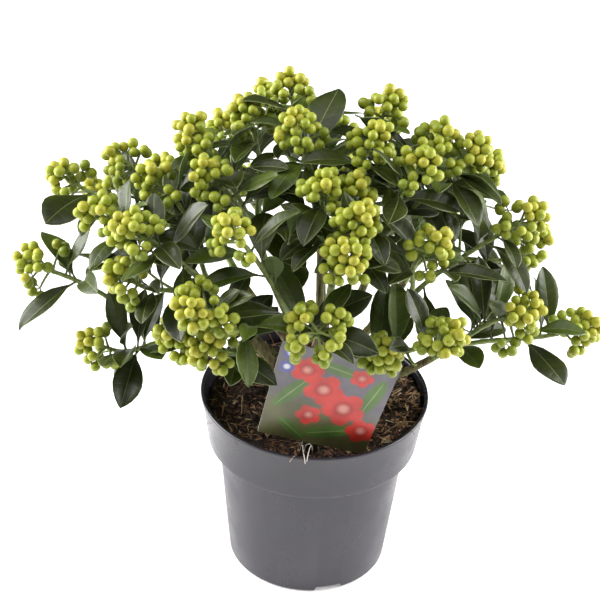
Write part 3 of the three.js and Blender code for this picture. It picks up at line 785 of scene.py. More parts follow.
DARK, BROWN, TAN, STRAW, PALE = range(5)  # the looks of what lies on the soil
LITTER_SEED = 41
# The share of pale, dry chips in the litter, and how much more of them lie to the right: that rise
# to the right is painted light, the left side darker as if shaded.
PALE_LITTER = Sizes(share=0.42, to_right=0.32)  # of the litter, and how much more of it to the right
# Splinters and chips of bark: their number, the ranges of their sides, and how high they lie.
CHIPS = ((1500, (4, 13), (0.6, 1.8), (0.4, 1.1), (-0.2, 0.9)),
         (260, (3, 8), (1.6, 4), (0.8, 2), (-0.4, 0.5)))
CHIP = Sizes(corners=(0.55, 1.1), pitch=0.28, roll=0.5)
FIBRE = Sizes(count=420, steps=8, stray=0.22, rise=0.12, sag=0.04, lengths=(7, 20),
              radii=(0.14, 0.34), lift=0.3)
# Hairs over the rim: the way that each faces, how far it hangs, how far it strays and its look.
OVER_RIM = ((-131, 5, 3, BROWN), (-98, 4, -2, STRAW), (-95, 6, 2, BROWN), (-21, 7, 4, TAN),
            (-33, 4, 2, BROWN), (118, 6, 3, TAN))
# Pale roots that loop over the rim before the label: the four points of each one's line.
ROOT_HAIRS = (((-5, -66, 146), (-8.5, -72, 160), (-7, -90, 169), (-4, -95, 155)),
              ((0.5, -66, 146), (0, -74, 160), (-1.5, -89, 169), (-3, -94.5, 157)),
              ((-5.5, -67, 146), (-5, -73, 161), (1, -75, 161), (1, -68, 147)))


def add_chip(heap, draw, spot, size, look):
    """A splinter of bark: a box with uneven corners, lying nearly flat."""
    corners = BOX_CORNERS * size
    corners = corners * np.array([[draw.uniform(*CHIP.corners) for _ in range(3)]
                                  for _ in corners])
    lie = Matrix.Rotation(draw.uniform(0, math.tau), 3, "Z")
    lie @= Matrix.Rotation(draw.gauss(0, CHIP.pitch), 3, "Y")
    lie @= Matrix.Rotation(draw.gauss(0, CHIP.roll), 3, "X")
    heap.add(corners @ np.array(lie).T + spot, BOX_FACES, look)


def add_fibre(heap, draw, start, way, length, radius, look):
    """A fibre with a wandering line that sags as it goes."""
    points = [np.array(start, float)]
    heading = unit(np.array(way, float))
    for _ in range(FIBRE.steps):
        stray = [draw.gauss(0, FIBRE.stray), draw.gauss(0, FIBRE.stray),
                 draw.gauss(0, FIBRE.rise) - FIBRE.sag]
        heading = unit(heading + np.array(stray))
        points.append(points[-1] + heading * length / FIBRE.steps)
    taper = radius * np.linspace(1, 0.5, FIBRE.steps + 1)
    heap.add(*tube(np.array(points), taper, 4), look)


def add_hair(heap, corners, rows, thick, thin, look):
    """A thin root along a curve that its corners pull."""
    line = Line(*(np.array(corner, float) for corner in corners))
    heap.add(*tube(line.at(np.linspace(0, 1, rows)), np.linspace(thick, thin, rows), 5), look)


def make_litter():
    """The shredded bark and coconut fibre that lies on the soil, and a few hairs of it
    that hang over the rim."""
    draw = random.Random(LITTER_SEED)
    heap = Heap()
    edge = soil_radius() - 3

    def somewhere(lift):
        turn = draw.uniform(0, math.tau)
        out = edge * math.sqrt(draw.uniform(0.05, 1))
        x, y = out * math.cos(turn), out * math.sin(turn)
        return np.array([x, y, soil_height(x, y) + crumbled(x, y) + lift])

    def dealt(spot):
        """A tone of bark: some of the litter is dry and pale, and more of it to the right, which is
        painted light, the left side darker as if shaded.
        """
        pale_chip = draw.random() < PALE_LITTER.share + PALE_LITTER.to_right * spot[0] / edge
        return draw.choice((BROWN, BROWN, TAN, TAN, STRAW) if pale_chip else (DARK, DARK, DARK, BROWN))

    for count, long, wide, thick, lift in CHIPS:
        for _ in range(count):
            size = [draw.uniform(*side) for side in (long, wide, thick)]
            spot = somewhere(draw.uniform(*lift))
            add_chip(heap, draw, spot, size, dealt(spot))
    for _ in range(FIBRE.count):
        way = (draw.uniform(-1, 1), draw.uniform(-1, 1), draw.uniform(-0.05, 0.35))
        start = somewhere(FIBRE.lift)
        length, radius = draw.uniform(*FIBRE.lengths), draw.uniform(*FIBRE.radii)
        add_fibre(heap, draw, start, way, length, radius, draw.choice((BROWN, TAN, TAN, STRAW)))
    out, rim = POT.rim_radius, POT.height
    for degrees, drop, sideways, look in OVER_RIM:
        corners = (around(degrees - sideways, out - 9, SOIL.level + 2),
                   around(degrees, out - 2, rim + 5), around(degrees, out + 3, rim + 2),
                   around(degrees + sideways, out + 1.5, rim - drop))
        add_hair(heap, corners, 12, 0.34, 0.2, look)
    for corners in ROOT_HAIRS:
        add_hair(heap, corners, 16, 0.5, 0.34, PALE)
    materials = [
        plain_growth("bark_dark", "22150e", "382418", 0.9),
        plain_growth("bark_brown", "513524", "73503a", 0.85),
        plain_growth("bark_tan", "8a6446", "aa8560", 0.8),
        plain_growth("straw", "a28867", "c4b08c", 0.7),
        plain_growth("pale_root", "a9a298", "d2ccc2", 0.6),
    ]
    piece("soil_litter", heap.mesh("soil_litter"), materials, "peat", sharp=35)


# ---- Label -----------------------------------------------------------------------------------

CARD = Sizes(bow=1.6, thinner=0.12)  # how far the card bows back, and how thin each side is cut


def label_matrix():
    """The card's stand: X runs across it, Y up it and Z out of its print."""
    stand = Matrix.Translation(LABEL.foot)
    stand @= Matrix.Rotation(math.radians(LABEL.turn), 4, "Z")
    stand @= Matrix.Rotation(math.radians(90 + LABEL.lean), 4, "X")
    return stand @ Matrix.Rotation(math.radians(LABEL.tilt), 4, "Z")


def label_rows():
    """Heights up the label and its half width at each, from the stake's tip to the card's top."""
    stake, top = LABEL.stake_width / 2, LABEL.height
    narrow, wide = (LABEL.width - LABEL.flare) / 2, (LABEL.width + LABEL.flare) / 2
    tip = [(-LABEL.stake_length, 0.4), (-LABEL.stake_length + stake, 0.7 * stake)]
    shoulder = [(-0.6, stake), (-0.3, stake + 1), (0, narrow - 0.6), (0.6, narrow)]
    side = [(y, mix(narrow, wide, y / top)) for y in np.linspace(12, top - LABEL.corner, 7)]
    turn = np.linspace(0, math.pi / 2, 6)[1:]
    corner = [(top - LABEL.corner * (1 - math.sin(a)), wide - LABEL.corner * (1 - math.cos(a)))
              for a in turn]
    return tip + shoulder + side + corner


# The print, in shares of the card: each blossom's place and size, each leaf's place, length and
# turn, and the badges' places.
BLOSSOMS = ((0.27, 0.77, 0.13), (0.45, 0.6, 0.155), (0.66, 0.44, 0.17), (0.86, 0.24, 0.12),
            (0.72, 0.8, 0.09), (0.4, 0.3, 0.1))
PRINTED_LEAVES = ((0.2, 0.5, 0.2, 60), (0.52, 0.84, 0.17, -10), (0.86, 0.62, 0.2, 75),
                  (0.6, 0.16, 0.2, 20), (0.3, 0.12, 0.15, -35))
BADGES = ((0.1, 0.9), (0.1, 0.755))
PETALS = 5
# The inks in the order that they are printed, each over the ones before it. The last is painted
# shade: it darkens the stake below the card's foot nearly to black, like the shadowed soil round
# it.
INKS = {"Leaf": "5c7f39", "Vein": "8eaa64", "Petal": "e23c32", "Depth": "b02420",
        "Heart": "f2a090", "Badge": "6466ab", "Mark": "f0f0fa", "Stake_painted_shade": "1c1812"}


def print_effect():
    """The card's own print: blossoms on a slanting spray over two soft fields of colour.
    It gives masks only, one for the fields and one for each ink."""
    names = ["Field", *INKS]
    tree, _, wanted = new_effect("Print", {}, names)
    spot = node(tree, "UVMap", uv_map=MAP).outputs[0]
    parts = node(tree, "SeparateXYZ", {0: spot}).outputs

    def most(masks):
        total = masks[0]
        for mask in masks[1:]:
            total = maths(tree, "MAXIMUM", total, mask)
        return total

    def disc(x, y, radius, soft=0.01, stretch=1.0, turn=0.0):
        moves = {0: spot, 1: (x, y, 0), 2: (0, 0, math.radians(turn)), 3: (1, stretch, 1)}
        shift = node(tree, "Mapping", moves, vector_type="TEXTURE").outputs[0]
        reach = node(tree, "VectorMath", {0: shift}, operation="LENGTH").outputs["Value"]
        return spread_out(tree, reach, radius + soft, radius - soft)

    petals, depths, hearts = [], [], []
    for x, y, size in BLOSSOMS:
        for k in range(PETALS):
            turn = math.radians(360 / PETALS * k + 300 * x)
            petals.append(disc(x + 0.62 * size * math.cos(turn), y + 0.62 * size * math.sin(turn),
                               0.46 * size))
        depths.append(disc(x, y, 0.42 * size, 0.2 * size))
        hearts.append(disc(x, y, 0.26 * size, 0.02))
    leaves = [disc(x, y, size, 0.008, 0.34, turn) for x, y, size, turn in PRINTED_LEAVES]
    veins = [disc(x, y, 0.9 * size, 0.01, 0.035, turn) for x, y, size, turn in PRINTED_LEAVES]
    badges = [disc(x, y, 0.062) for x, y in BADGES]
    marks = [disc(x, y, 0.026) for x, y in BADGES]
    hill = maths(tree, "SINE", maths(tree, "MULTIPLY", parts[0], 5.0))
    hill = maths(tree, "MULTIPLY_ADD", hill, 0.06, 0.42)
    field = spread_out(tree, maths(tree, "SUBTRACT", parts[1], hill), -0.12, 0.12)
    # The last mask covers the stake below the card's foot, for its painted shade.
    masks = [field, most(leaves), most(veins), most(petals), most(depths), most(hearts),
             most(badges), most(marks), spread_out(tree, parts[1], 0, -0.012)]
    for label, mask in zip(names, masks):
        tree.links.new(mask, wanted[label])
    return tree


def card_print():
    """The printed face of the card, under a thin gloss."""
    made = Finish("printed_card", 0.34, coat_weight=0.1, coat_roughness=0.15)
    inks = made.effect(print_effect)
    colour = blend(made.tree, inks["Field"], paint("6b6b42"), paint("736f77"))
    for ink, code in INKS.items():
        colour = blend(made.tree, inks[ink], colour, paint(code))
    tone = made.effect(mottle_effect, size=55, low=0.3, high=0.75)["Mask"]
    shade = blend(made.tree, tone, paint("c8c8c8"), paint("ffffff"))
    made.set("Base Color", blend(made.tree, 1.0, colour, shade, "MULTIPLY"))
    made.bump(made.effect(grain_effect, size=500)["Height"], 0.00005, 0.3)
    return made.material


def make_label():
    """The card on its stake, printed on its front and a little bowed across."""
    heights, widths = np.array(label_rows()).T
    across = np.linspace(-1, 1, 13)
    half = LABEL.thickness / 2
    x = widths[:, None] * across
    y = np.repeat(heights[:, None], len(across), axis=1)
    bow = -CARD.bow * (x / (LABEL.width / 2)) ** 2 * np.clip(y / LABEL.height, 0, 1)
    front = np.stack([x, y, bow + half - CARD.thinner], -1)
    back = np.stack([x, y, bow - half + CARD.thinner], -1)
    printed, *bare = slab_faces(len(heights), len(across))
    faces = np.concatenate([printed, *bare])
    is_bare = np.arange(len(faces)) >= len(printed)
    flat = np.concatenate([front, back]).reshape(-1, 3)
    u = flat[:, 0] / (LABEL.width + LABEL.flare) + 0.5
    marks = np.stack([u, flat[:, 1] / LABEL.height], -1)[faces]
    marks[is_bare] *= 0.001
    placed = flat @ np.array(label_matrix().to_3x3()).T + np.array(label_matrix().translation)
    heap = Heap()
    heap.add(placed, faces, is_bare.astype(int), marks)
    plastic = Finish("white_card", 0.35)
    plastic.set("Base Color", plastic.mottled("dadcd6", "eef0ea", size=80))
    plastic.bump(plastic.effect(grain_effect, size=600)["Height"], 0.00005, 0.3)
    piece("picture_label", heap.mesh("picture_label"), [card_print(), plastic.material],
          "label_card", "plant_label", sharp=40)


# ---- Limbs -----------------------------------------------------------------------------------


def middle_of(shoots):
    """The middle of a mass, from its shoots' places."""
    return np.mean([around(*shoot) for shoot in shoots], axis=0)


def bough_line(ring, way, shoots):
    """A bough's run from inside the stool's head to its tip, part way to its mass's middle."""
    ring = RINGS[ring]
    root = around(way, ring.out, ring.up)
    lean = math.radians(ring.lean)
    set_off = around(way, math.sin(lean), math.cos(lean))
    tip = mix(root, middle_of(shoots), BOUGH.share)
    arrive = unit(unit(middle_of(shoots) - root) + UP * BOUGH.rise)
    bend = BOUGH.bend * np.linalg.norm(tip - root)
    return Line(root, root + set_off * bend, tip - arrive * bend, tip)


def stem_line(bough):
    """The stem that carries on from a bough's tip, on the bough's own line."""
    ahead = unit(bough.points[-1] - bough.points[-2])
    start = bough.points[-1] + ahead * GAP
    return Line(start, start + ahead * STEM.length)


def shoot_axis(shoot):
    """The way a shoot points where it ends: nearly upright at the crown's centre, leaning
    outwards at its edge and low down."""
    degrees, out, up = shoot
    by_reach = SHOOT.lean_by_reach * out / SHOOT.crown_reach
    by_depth = SHOOT.lean_by_depth * (1 - up / SHOOT.crown_height)
    lean = math.radians(SHOOT.lean_at_centre + by_reach + by_depth)
    return around(degrees, math.sin(lean), math.cos(lean))


def twig_line(stem, shoot, number):
    """A twig from its fork in the stem to the foot of its fruit head."""
    ahead = unit(stem.points[-1] - stem.points[0])
    fork = stem.at(STEM.first_fork + number * STEM.next_fork)
    axis = shoot_axis(shoot)
    end = around(*shoot) - axis * FRUIT_HEAD
    bend = TWIG.bend * np.linalg.norm(end - fork)
    return Line(fork, fork + ahead * bend, end - axis * bend, end)


def all_shoots():
    """Every shoot of the plant, each with its mass, seed, axis and twig."""
    made = []
    for m, (mass, (ring, way, *places)) in enumerate(MASSES.items()):
        stem = stem_line(bough_line(ring, way, places))
        for s, place in enumerate(places):
            seed = SEEDS.mass * (m + 1) + SEEDS.shoot * (s + 1)
            broad = HEAD_SIZES.get(mass, (1,) * len(places))[s]
            made.append(Sizes(mass=mass, place_in_mass=s, ring=ring, place=place, seed=seed,
                              number=len(made), broad=broad, is_open=(mass, s) in OPEN_HEADS,
                              axis=shoot_axis(place), twig=twig_line(stem, place, s)))
    return made


# The bark's relief: how fine the ridges are round a limb and along it, the same for the knots,
# how few knots there are and how far they stand out.
RELIEF = Sizes(across=2.2, along=0.02, finer=1.3, knot_along=0.11, knot_across=0.8, few=0.25,
               knot=0.35)
ROUGH = Sizes(stool=0.16, bough=0.12)  # how far the ridges stand out, as shares of the radius
FLARE = Sizes(ridges=5, rise=0.1, turn=0.7, fade=7, most=1.02)  # the ridges of the stool's foot
COLLAR = Sizes(rise=0.45, fade=7)  # the swelling where a bough leaves the stool


def barked(line, radii, sides, rough):
    """A rod's radii with ridges and knots, as a row of them for each point of its line."""
    turn = 2 * np.pi * np.arange(sides) / sides
    made = np.empty((len(line), sides))
    for i, (spot, radius) in enumerate(zip(line, radii)):
        far = spot.sum()
        for k, angle in enumerate(turn):
            place = Vector((RELIEF.across * math.cos(angle), RELIEF.across * math.sin(angle),
                            RELIEF.along * far))
            ridge = noise.noise(place * RELIEF.finer)
            there = Vector((RELIEF.knot_along * far, RELIEF.knot_across * angle, 5.0))
            knot = max(0.0, noise.noise(there) - RELIEF.few)
            made[i, k] = radius * (1 + rough * ridge + RELIEF.knot * knot)
    return made


def add_stool(heap):
    """The stool, whose foot flares out in low ridges."""
    radii, heights = np.array(STOOL.outline, float).T
    rows = np.linspace(GAP, STOOL.height, 26)
    spread = np.interp(rows, heights, radii)
    spread[-1] *= 0.85
    sides = 48
    turn = 2 * np.pi * np.arange(sides) / sides
    fade = np.exp(-rows[:, None] / FLARE.fade)
    flare = 1 + FLARE.rise * np.cos(FLARE.ridges * turn + FLARE.turn) * fade
    line = np.stack([0 * rows, 0 * rows, rows], -1)
    relief = barked(line, spread, sides, ROUGH.stool) / spread[:, None]
    shape = np.minimum(spread[:, None] * flare * relief, spread[:, None] * FLARE.most)
    heap.add(*tube(line, shape, sides))


def add_bough(heap, bough):
    """A bough, with a collar where it leaves the stool."""
    shares, sides = np.linspace(0, 1, 56), 18
    line = bough.at(shares)
    collar = 1 + COLLAR.rise * np.exp(-shares * bough.length / COLLAR.fade)
    taper = mix(BOUGH.root_radius, BOUGH.tip_radius, shares) * collar
    heap.add(*tube(line, barked(line, taper, sides, ROUGH.bough), sides))


def make_limbs():
    """The stool and the boughs, with their bark's relief."""
    heap = Heap(base=(0, 0, SOIL.level))
    add_stool(heap)
    for ring, way, *places in MASSES.values():
        add_bough(heap, bough_line(ring, way, places))
    nodes = ["stool"] + ["bough_" + mass for mass in MASSES]
    piece("bark_limbs", heap.mesh("bark_limbs"), [bark_skin()], "bark", *nodes)


# ---- Fruit -----------------------------------------------------------------------------------


def unit_ball():
    """A ball of radius 1 as points and faces."""
    made = bmesh.new()
    bmesh.ops.create_icosphere(made, subdivisions=3, radius=1)
    points = np.array([vert.co for vert in made.verts])
    faces = np.array([[vert.index for vert in face.verts] + [-1] for face in made.faces])
    made.free()
    return points, faces


def plan_head(shoot):
    """The branches of one fruit head, and a place for each of its berries.
    A berry's row is its place, its radius, and the branch tip that it hangs from."""
    draw = random.Random(shoot.seed)
    foot = shoot.twig.points[-1]
    big = draw.uniform(*HEAD.size_spread) * shoot.broad
    full = (draw.random() < HEAD.full) + (shoot.broad > HEAD.broad)
    tall = draw.uniform(*HEAD.height_spread) * min(1, shoot.broad)
    narrowest = HEAD.open_narrowest if shoot.is_open else HEAD.narrowest
    whorls = HEAD.open_branches if shoot.is_open else HEAD.branches
    branches, berries = [], []
    for i in range(whorls + 1 - shoot.is_open):
        share = i / whorls
        start = foot + shoot.axis * FRUIT_HEAD * tall * share
        on_top = i == whorls
        if on_top:
            way, length = shoot.axis, HEAD.top * big
        else:
            angle = mix(HEAD.widest, narrowest, share) + draw.gauss(0, HEAD.angle_spread)
            about = GOLDEN_ANGLE * i + HEAD.turn_spread * draw.random() + shoot.seed
            way = turned_from(shoot.axis, math.radians(angle), math.radians(about))
            length = mix(HEAD.longest, HEAD.shortest, share) * big
            length *= draw.uniform(*HEAD.length_spread)
        tip = start + way * length
        branches.append((start, tip))
        count = draw.randint(*HEAD.berries) + full + HEAD.more_on_top * on_top
        for k in range(count):
            fan = math.radians(GOLDEN_ANGLE * k + 360 * draw.random())
            open_by = math.radians(mix(*HEAD.opening, (k + 0.5) / count))
            out = turned_from(way, open_by, fan)
            radius = draw.triangular(*HEAD.berry_radius)
            berries.append((tip + out * HEAD.cluster * big, radius, len(branches) - 1))
    return branches, berries


def settled(places, radii, shoots, heads):
    """Berries pushed apart until none lies in another or on its own head's axis."""
    homes = places.copy()
    wanted = radii[:, None] + radii[None] + SETTLING.gap
    feet = np.array([shoots[h].twig.points[-1] for h in heads])
    axes = np.array([shoots[h].axis for h in heads])
    for _ in range(SETTLING.rounds):
        apart = places[:, None] - places[None]
        distance = np.linalg.norm(apart, axis=2)
        np.fill_diagonal(distance, 1e9)  # no berry pushes itself
        push = (apart * (np.clip(wanted - distance, 0, None) / distance)[:, :, None]).sum(1)
        places = places + SETTLING.push * push + SETTLING.pull * (homes - places)
        rise = ((places - feet) * axes).sum(1)
        off = places - feet - axes * rise[:, None]
        clear = np.linalg.norm(off, axis=1)
        short = np.clip(radii + SETTLING.off_axis - clear, 0, None) * (rise < FRUIT_HEAD)
        places = places + off / np.maximum(clear, 0.1)[:, None] * short[:, None]
    return places


STALK, SCAR = 1, 4  # the looks of a head's stalks, and of the scar on each berry
STALK_TIP, BRANCH_ROOT = 1.1, 1.15  # the radii where a head's stalk ends and its branches begin
# How a berry's colour follows its height in its head, from 0 for the palest and yellowest to 3 for
# the darkest and greenest: painted light, the higher berries lit and the lower ones shaded, with
# the stray mixing them at random.
BERRY_TONE_AND_PAINTED_LIGHT = Sizes(reach=20, stray=(-0.55, 0.55), middle=1.9, by_height=-1.7, greenest=3)
BERRY_LENGTH = (0.98, 1.08)  # as a share of its breadth


def add_branches(heap, shoot, branches):
    """The stalk that carries on from a twig, and the branches of its fruit head."""
    foot = shoot.twig.points[-1]
    stalk = np.linspace(foot - shoot.axis, branches[-1][0], 5)
    heap.add(*tube(stalk, np.linspace(TWIG.tip_radius, STALK_TIP, 5), 8), STALK)
    for start, tip in branches:
        spots = Line(start, mix(start, tip, 0.5) + shoot.axis, tip).at(np.linspace(0, 1, 5))
        heap.add(*tube(spots, np.linspace(BRANCH_ROOT, HEAD.branch_radius, 5), 6), STALK)


def add_berry_stalk(heap, start, tip, place, radius):
    """A berry's own stalk, bent out of its branch, which runs from start to tip."""
    ahead, out = unit(tip - start), unit(place - tip)
    line = Line(tip - ahead, tip + ahead * 2.5, place - out * (radius + 2),
                place - out * radius * 0.93)
    taper = HEAD.stalk_radius * np.array([1, 0.95, 1.05, 1.7])
    heap.add(*tube(line.at(np.array([0, 0.4, 0.8, 1])), taper, 5), STALK)


def add_berry(heap, ball, out, place, radius, long, look):
    """A berry that points out from its stalk, with the flower's scar at its end."""
    points, faces = ball
    shape = points * radius * np.array([1, 1, long])
    heap.add(shape @ facing(out) + place, faces, look)
    scar = np.array([radius * 0.97, radius * 1.03, radius * 1.06])[:, None] * out + place
    heap.add(*tube(scar, radius * np.array([0.14, 0.1, 0.04]), 6), SCAR)


def grow_fruit(shoots, stalk_heaps, fruit_heaps):
    """Every head's berries on their branched stalks. Returns the berries' places and radii."""
    plans = [plan_head(shoot) for shoot in shoots]
    rows = [(h, *berry) for h, (_, berries) in enumerate(plans) for berry in berries]
    heads = [row[0] for row in rows]
    radii = np.array([row[2] for row in rows])
    places = settled(np.array([row[1] for row in rows]), radii, shoots, heads)
    for shoot, (branches, _) in zip(shoots, plans):
        add_branches(stalk_heaps[shoot.ring], shoot, branches)
    ball = unit_ball()
    for place, radius, (h, _, _, b) in zip(places, radii, rows):
        shoot, (start, tip) = shoots[h], plans[h][0][b]
        draw = random.Random(int(1e3 * radius) + SEEDS.berry * h)
        add_berry_stalk(stalk_heaps[shoot.ring], start, tip, place, radius)
        long = draw.uniform(*BERRY_LENGTH)
        # Painted light: the higher a berry sits in its head, the paler and yellower its skin, and
        # the lower it sits, the darker and greener, as if shaded.
        high = (place - around(*shoot.place)) @ shoot.axis / BERRY_TONE_AND_PAINTED_LIGHT.reach
        green = BERRY_TONE_AND_PAINTED_LIGHT.middle + BERRY_TONE_AND_PAINTED_LIGHT.by_height * (high + draw.uniform(*BERRY_TONE_AND_PAINTED_LIGHT.stray))
        look = int(np.clip(green, 0, BERRY_TONE_AND_PAINTED_LIGHT.greenest))
        add_berry(fruit_heaps[shoot.ring], ball, unit(place - tip), place, radius, long, look)
    return places, radii


# ---- Leaves ----------------------------------------------------------------------------------

LEAF_LOOKS = ("leaf_deep", "leaf_dark", "leaf_mid", "leaf_fresh", "leaf_under", "leaf_rib",
              "leaf_margin")
UNDER, RIB, MARGIN = 4, 5, 6
BLADE_TINTS = (0, 0, 0, 0, 1, 1, 1, 1, 1, 2, 2, 3)  # how often each tint is dealt to a spray
EDGE_TINTS = (0, 1, 1, 2)

# What a leaf's shape strays by: its arch, its bend aside and its droop as shares of its length,
# the fold and curl of its halves, the ripples of its margin and its twist towards its tip. Then
# the groove over its midrib, and how its blade thickens to its stalk and thins at its edge.
FORM = Sizes(rise=(0.1, 0.34), sway=(-0.07, 0.07), droop=(0.4, 3.2), fold=(0.25, 0.75),
             curl=(0.1, 0.45), ripple=0.8, ripples=(7, 12), ripple_start=(0, 6),
             twist=(-0.5, 0.5), groove=0.15, thicker=2.5, thickened=0.07, thinner=0.6)

# A leaf that has no room is turned, lifted or shortened before it is left out.
LEAF_TRIES = ((0, 0, 1), (14, 0, 1), (-14, 0, 1), (0, -14, 0.95), (0, 14, 0.95),
              (26, -8, 0.85), (-26, -8, 0.85), (0, -24, 0.75), (34, 10, 0.8), (-34, 10, 0.8))


def back_from_tip(line, back):
    """The place on a line at a distance back from its tip."""
    return line.at(1 - back / line.length)


def leaf_plans(line, axis, seed):
    """The places of a shoot's leaves, as on the solids but less even."""
    plans = []
    phase = 360 * next(seeded(seed))
    for i in range(LEAF.per_shoot):
        draw = seeded(seed + SEEDS.leaf * (i + 1))
        turn, tilt, stretch, stray = (next(draw) - 0.5 for _ in range(4))
        age = i / (LEAF.per_shoot - 1)
        about = phase + GOLDEN_ANGLE * i
        angle = mix(LEAF.young_angle, LEAF.old_angle, age) + LEAF.angle_spread * tilt
        angle += LOOSENESS * stray - RAISED
        length = mix(LEAF.young_length, LEAF.old_length, age) * (1 + LEAF.length_spread * stretch)
        down = mix(LEAF.first_back, LEAF.last_back, age**LEAF.crowding)
        back = min(down, LEAF.furthest_back * line.length)
        plan = Sizes(root=back_from_tip(line, back), axis=axis, length=length, width=None,
                     about=math.radians(about + LEAF.turn_spread * turn),
                     angle=math.radians(angle), seed=seed + SEEDS.leaf_shape * i, number=i)
        hangs = turned_from(axis, plan.angle, plan.about)[2] < -SHED.steepness
        if not (hangs and next(draw) < SHED.share):
            plans.append(plan)
    return plans


def blade_rows(length, wide):
    """Half the leaf's width at each of its rows."""
    shares = np.array(BLADE.rows)
    start = BLADE.stalk / length
    along = np.clip((shares - start) / (1 - start), 0, 1)
    peak = BLADE.base_power / (BLADE.base_power + BLADE.tip_power)
    height = peak**BLADE.base_power * (1 - peak) ** BLADE.tip_power
    curve = along**BLADE.base_power * (1 - along) ** BLADE.tip_power / height
    stalk = mix(BLADE.stalk_half, BLADE.tip_half, shares)
    return np.maximum(0.5 * wide * length * curve, stalk)


@lru_cache(None)
def leaf_faces(rows, columns):
    """A leaf's faces, their looks, with -1 on the blade, and each corner's row."""
    above, below, rim = slab_faces(rows, columns)
    faces = np.concatenate([above, below, rim])
    upper = [MARGIN, -1, -1, RIB, -1, -1, MARGIN]
    lower = [UNDER, UNDER, UNDER, RIB, UNDER, UNDER, UNDER]
    looks = [np.tile(upper, rows - 1), np.tile(lower, rows - 1), np.full(len(rim), MARGIN)]
    return faces, np.concatenate(looks), faces % (rows * columns) // columns


def leaf_shape(plan):
    """A leaf's points above and below, as rows from stalk to tip and columns across, and how
    far across it each point is."""
    draw = random.Random(plan.seed)
    along = turned_from(plan.axis, plan.angle, plan.about)
    hang = max(0.0, -along[2])
    if not plan.width:
        along = unit(along + plan.axis * LEAF.to_tip * hang + UP * draw.uniform(*TO_LIGHT) * hang)
    face = plan.axis + UP
    face = unit(face - along * (face @ along))
    across = np.cross(along, face)
    shares = np.array(BLADE.rows)[:, None]
    half = blade_rows(plan.length, plan.width or draw.uniform(*WIDTHS))[:, None]
    rib = np.minimum(BLADE.midrib, BLADE.most_midrib * half)
    bend = BLADE.bend_at * half
    edge = half - np.minimum(BLADE.margin, BLADE.most_margin * half)
    x = np.concatenate([-half, -edge, -bend, -rib, rib, bend, edge, half], axis=1)
    rise, sway = draw.uniform(*FORM.rise), draw.uniform(*FORM.sway)
    drop = LEAF.droop * draw.uniform(*FORM.droop) * (EDGE_DROOP if plan.width else 1)
    lift = plan.length * (rise * shares - (rise + drop) * shares**2)
    slope = rise - 2 * (rise + drop) * shares
    fold, curl = draw.uniform(*FORM.fold), draw.uniform(*FORM.curl)
    waves = np.sin(draw.uniform(*FORM.ripples) * shares + draw.uniform(*FORM.ripple_start))
    ripple = FORM.ripple * waves * (x / half) ** 2
    raised = fold * np.abs(x) - curl * x**2 / half + ripple - FORM.groove * (np.abs(x) <= rib)
    twist = draw.uniform(*FORM.twist) * shares**1.5
    sideways = x * np.cos(twist) - raised * np.sin(twist) + plan.length * sway * shares**2
    raised = x * np.sin(twist) + raised * np.cos(twist)
    normal = face - along * slope[..., None]
    normal = normal / np.linalg.norm(normal, axis=-1)[..., None]
    centre = plan.root + along * (plan.length * shares)[..., None] + face * lift[..., None]
    middle = centre + across * sideways[..., None] + normal * raised[..., None]
    thick = 0.5 * BLADE.thickness * (1 + FORM.thicker * np.exp(-shares / FORM.thickened))
    thick = thick * (1 - FORM.thinner * (np.abs(x) >= half))
    deep = thick + BLADE.rib_depth * (1 - shares) * (np.abs(x) <= rib)
    return middle + normal * thick[..., None], middle - normal * deep[..., None], x / half


CLOSE = 8  # more than the radius of any berry or limb and the room round it
CARD_ROOM = 2.2  # kept before and behind the label's card


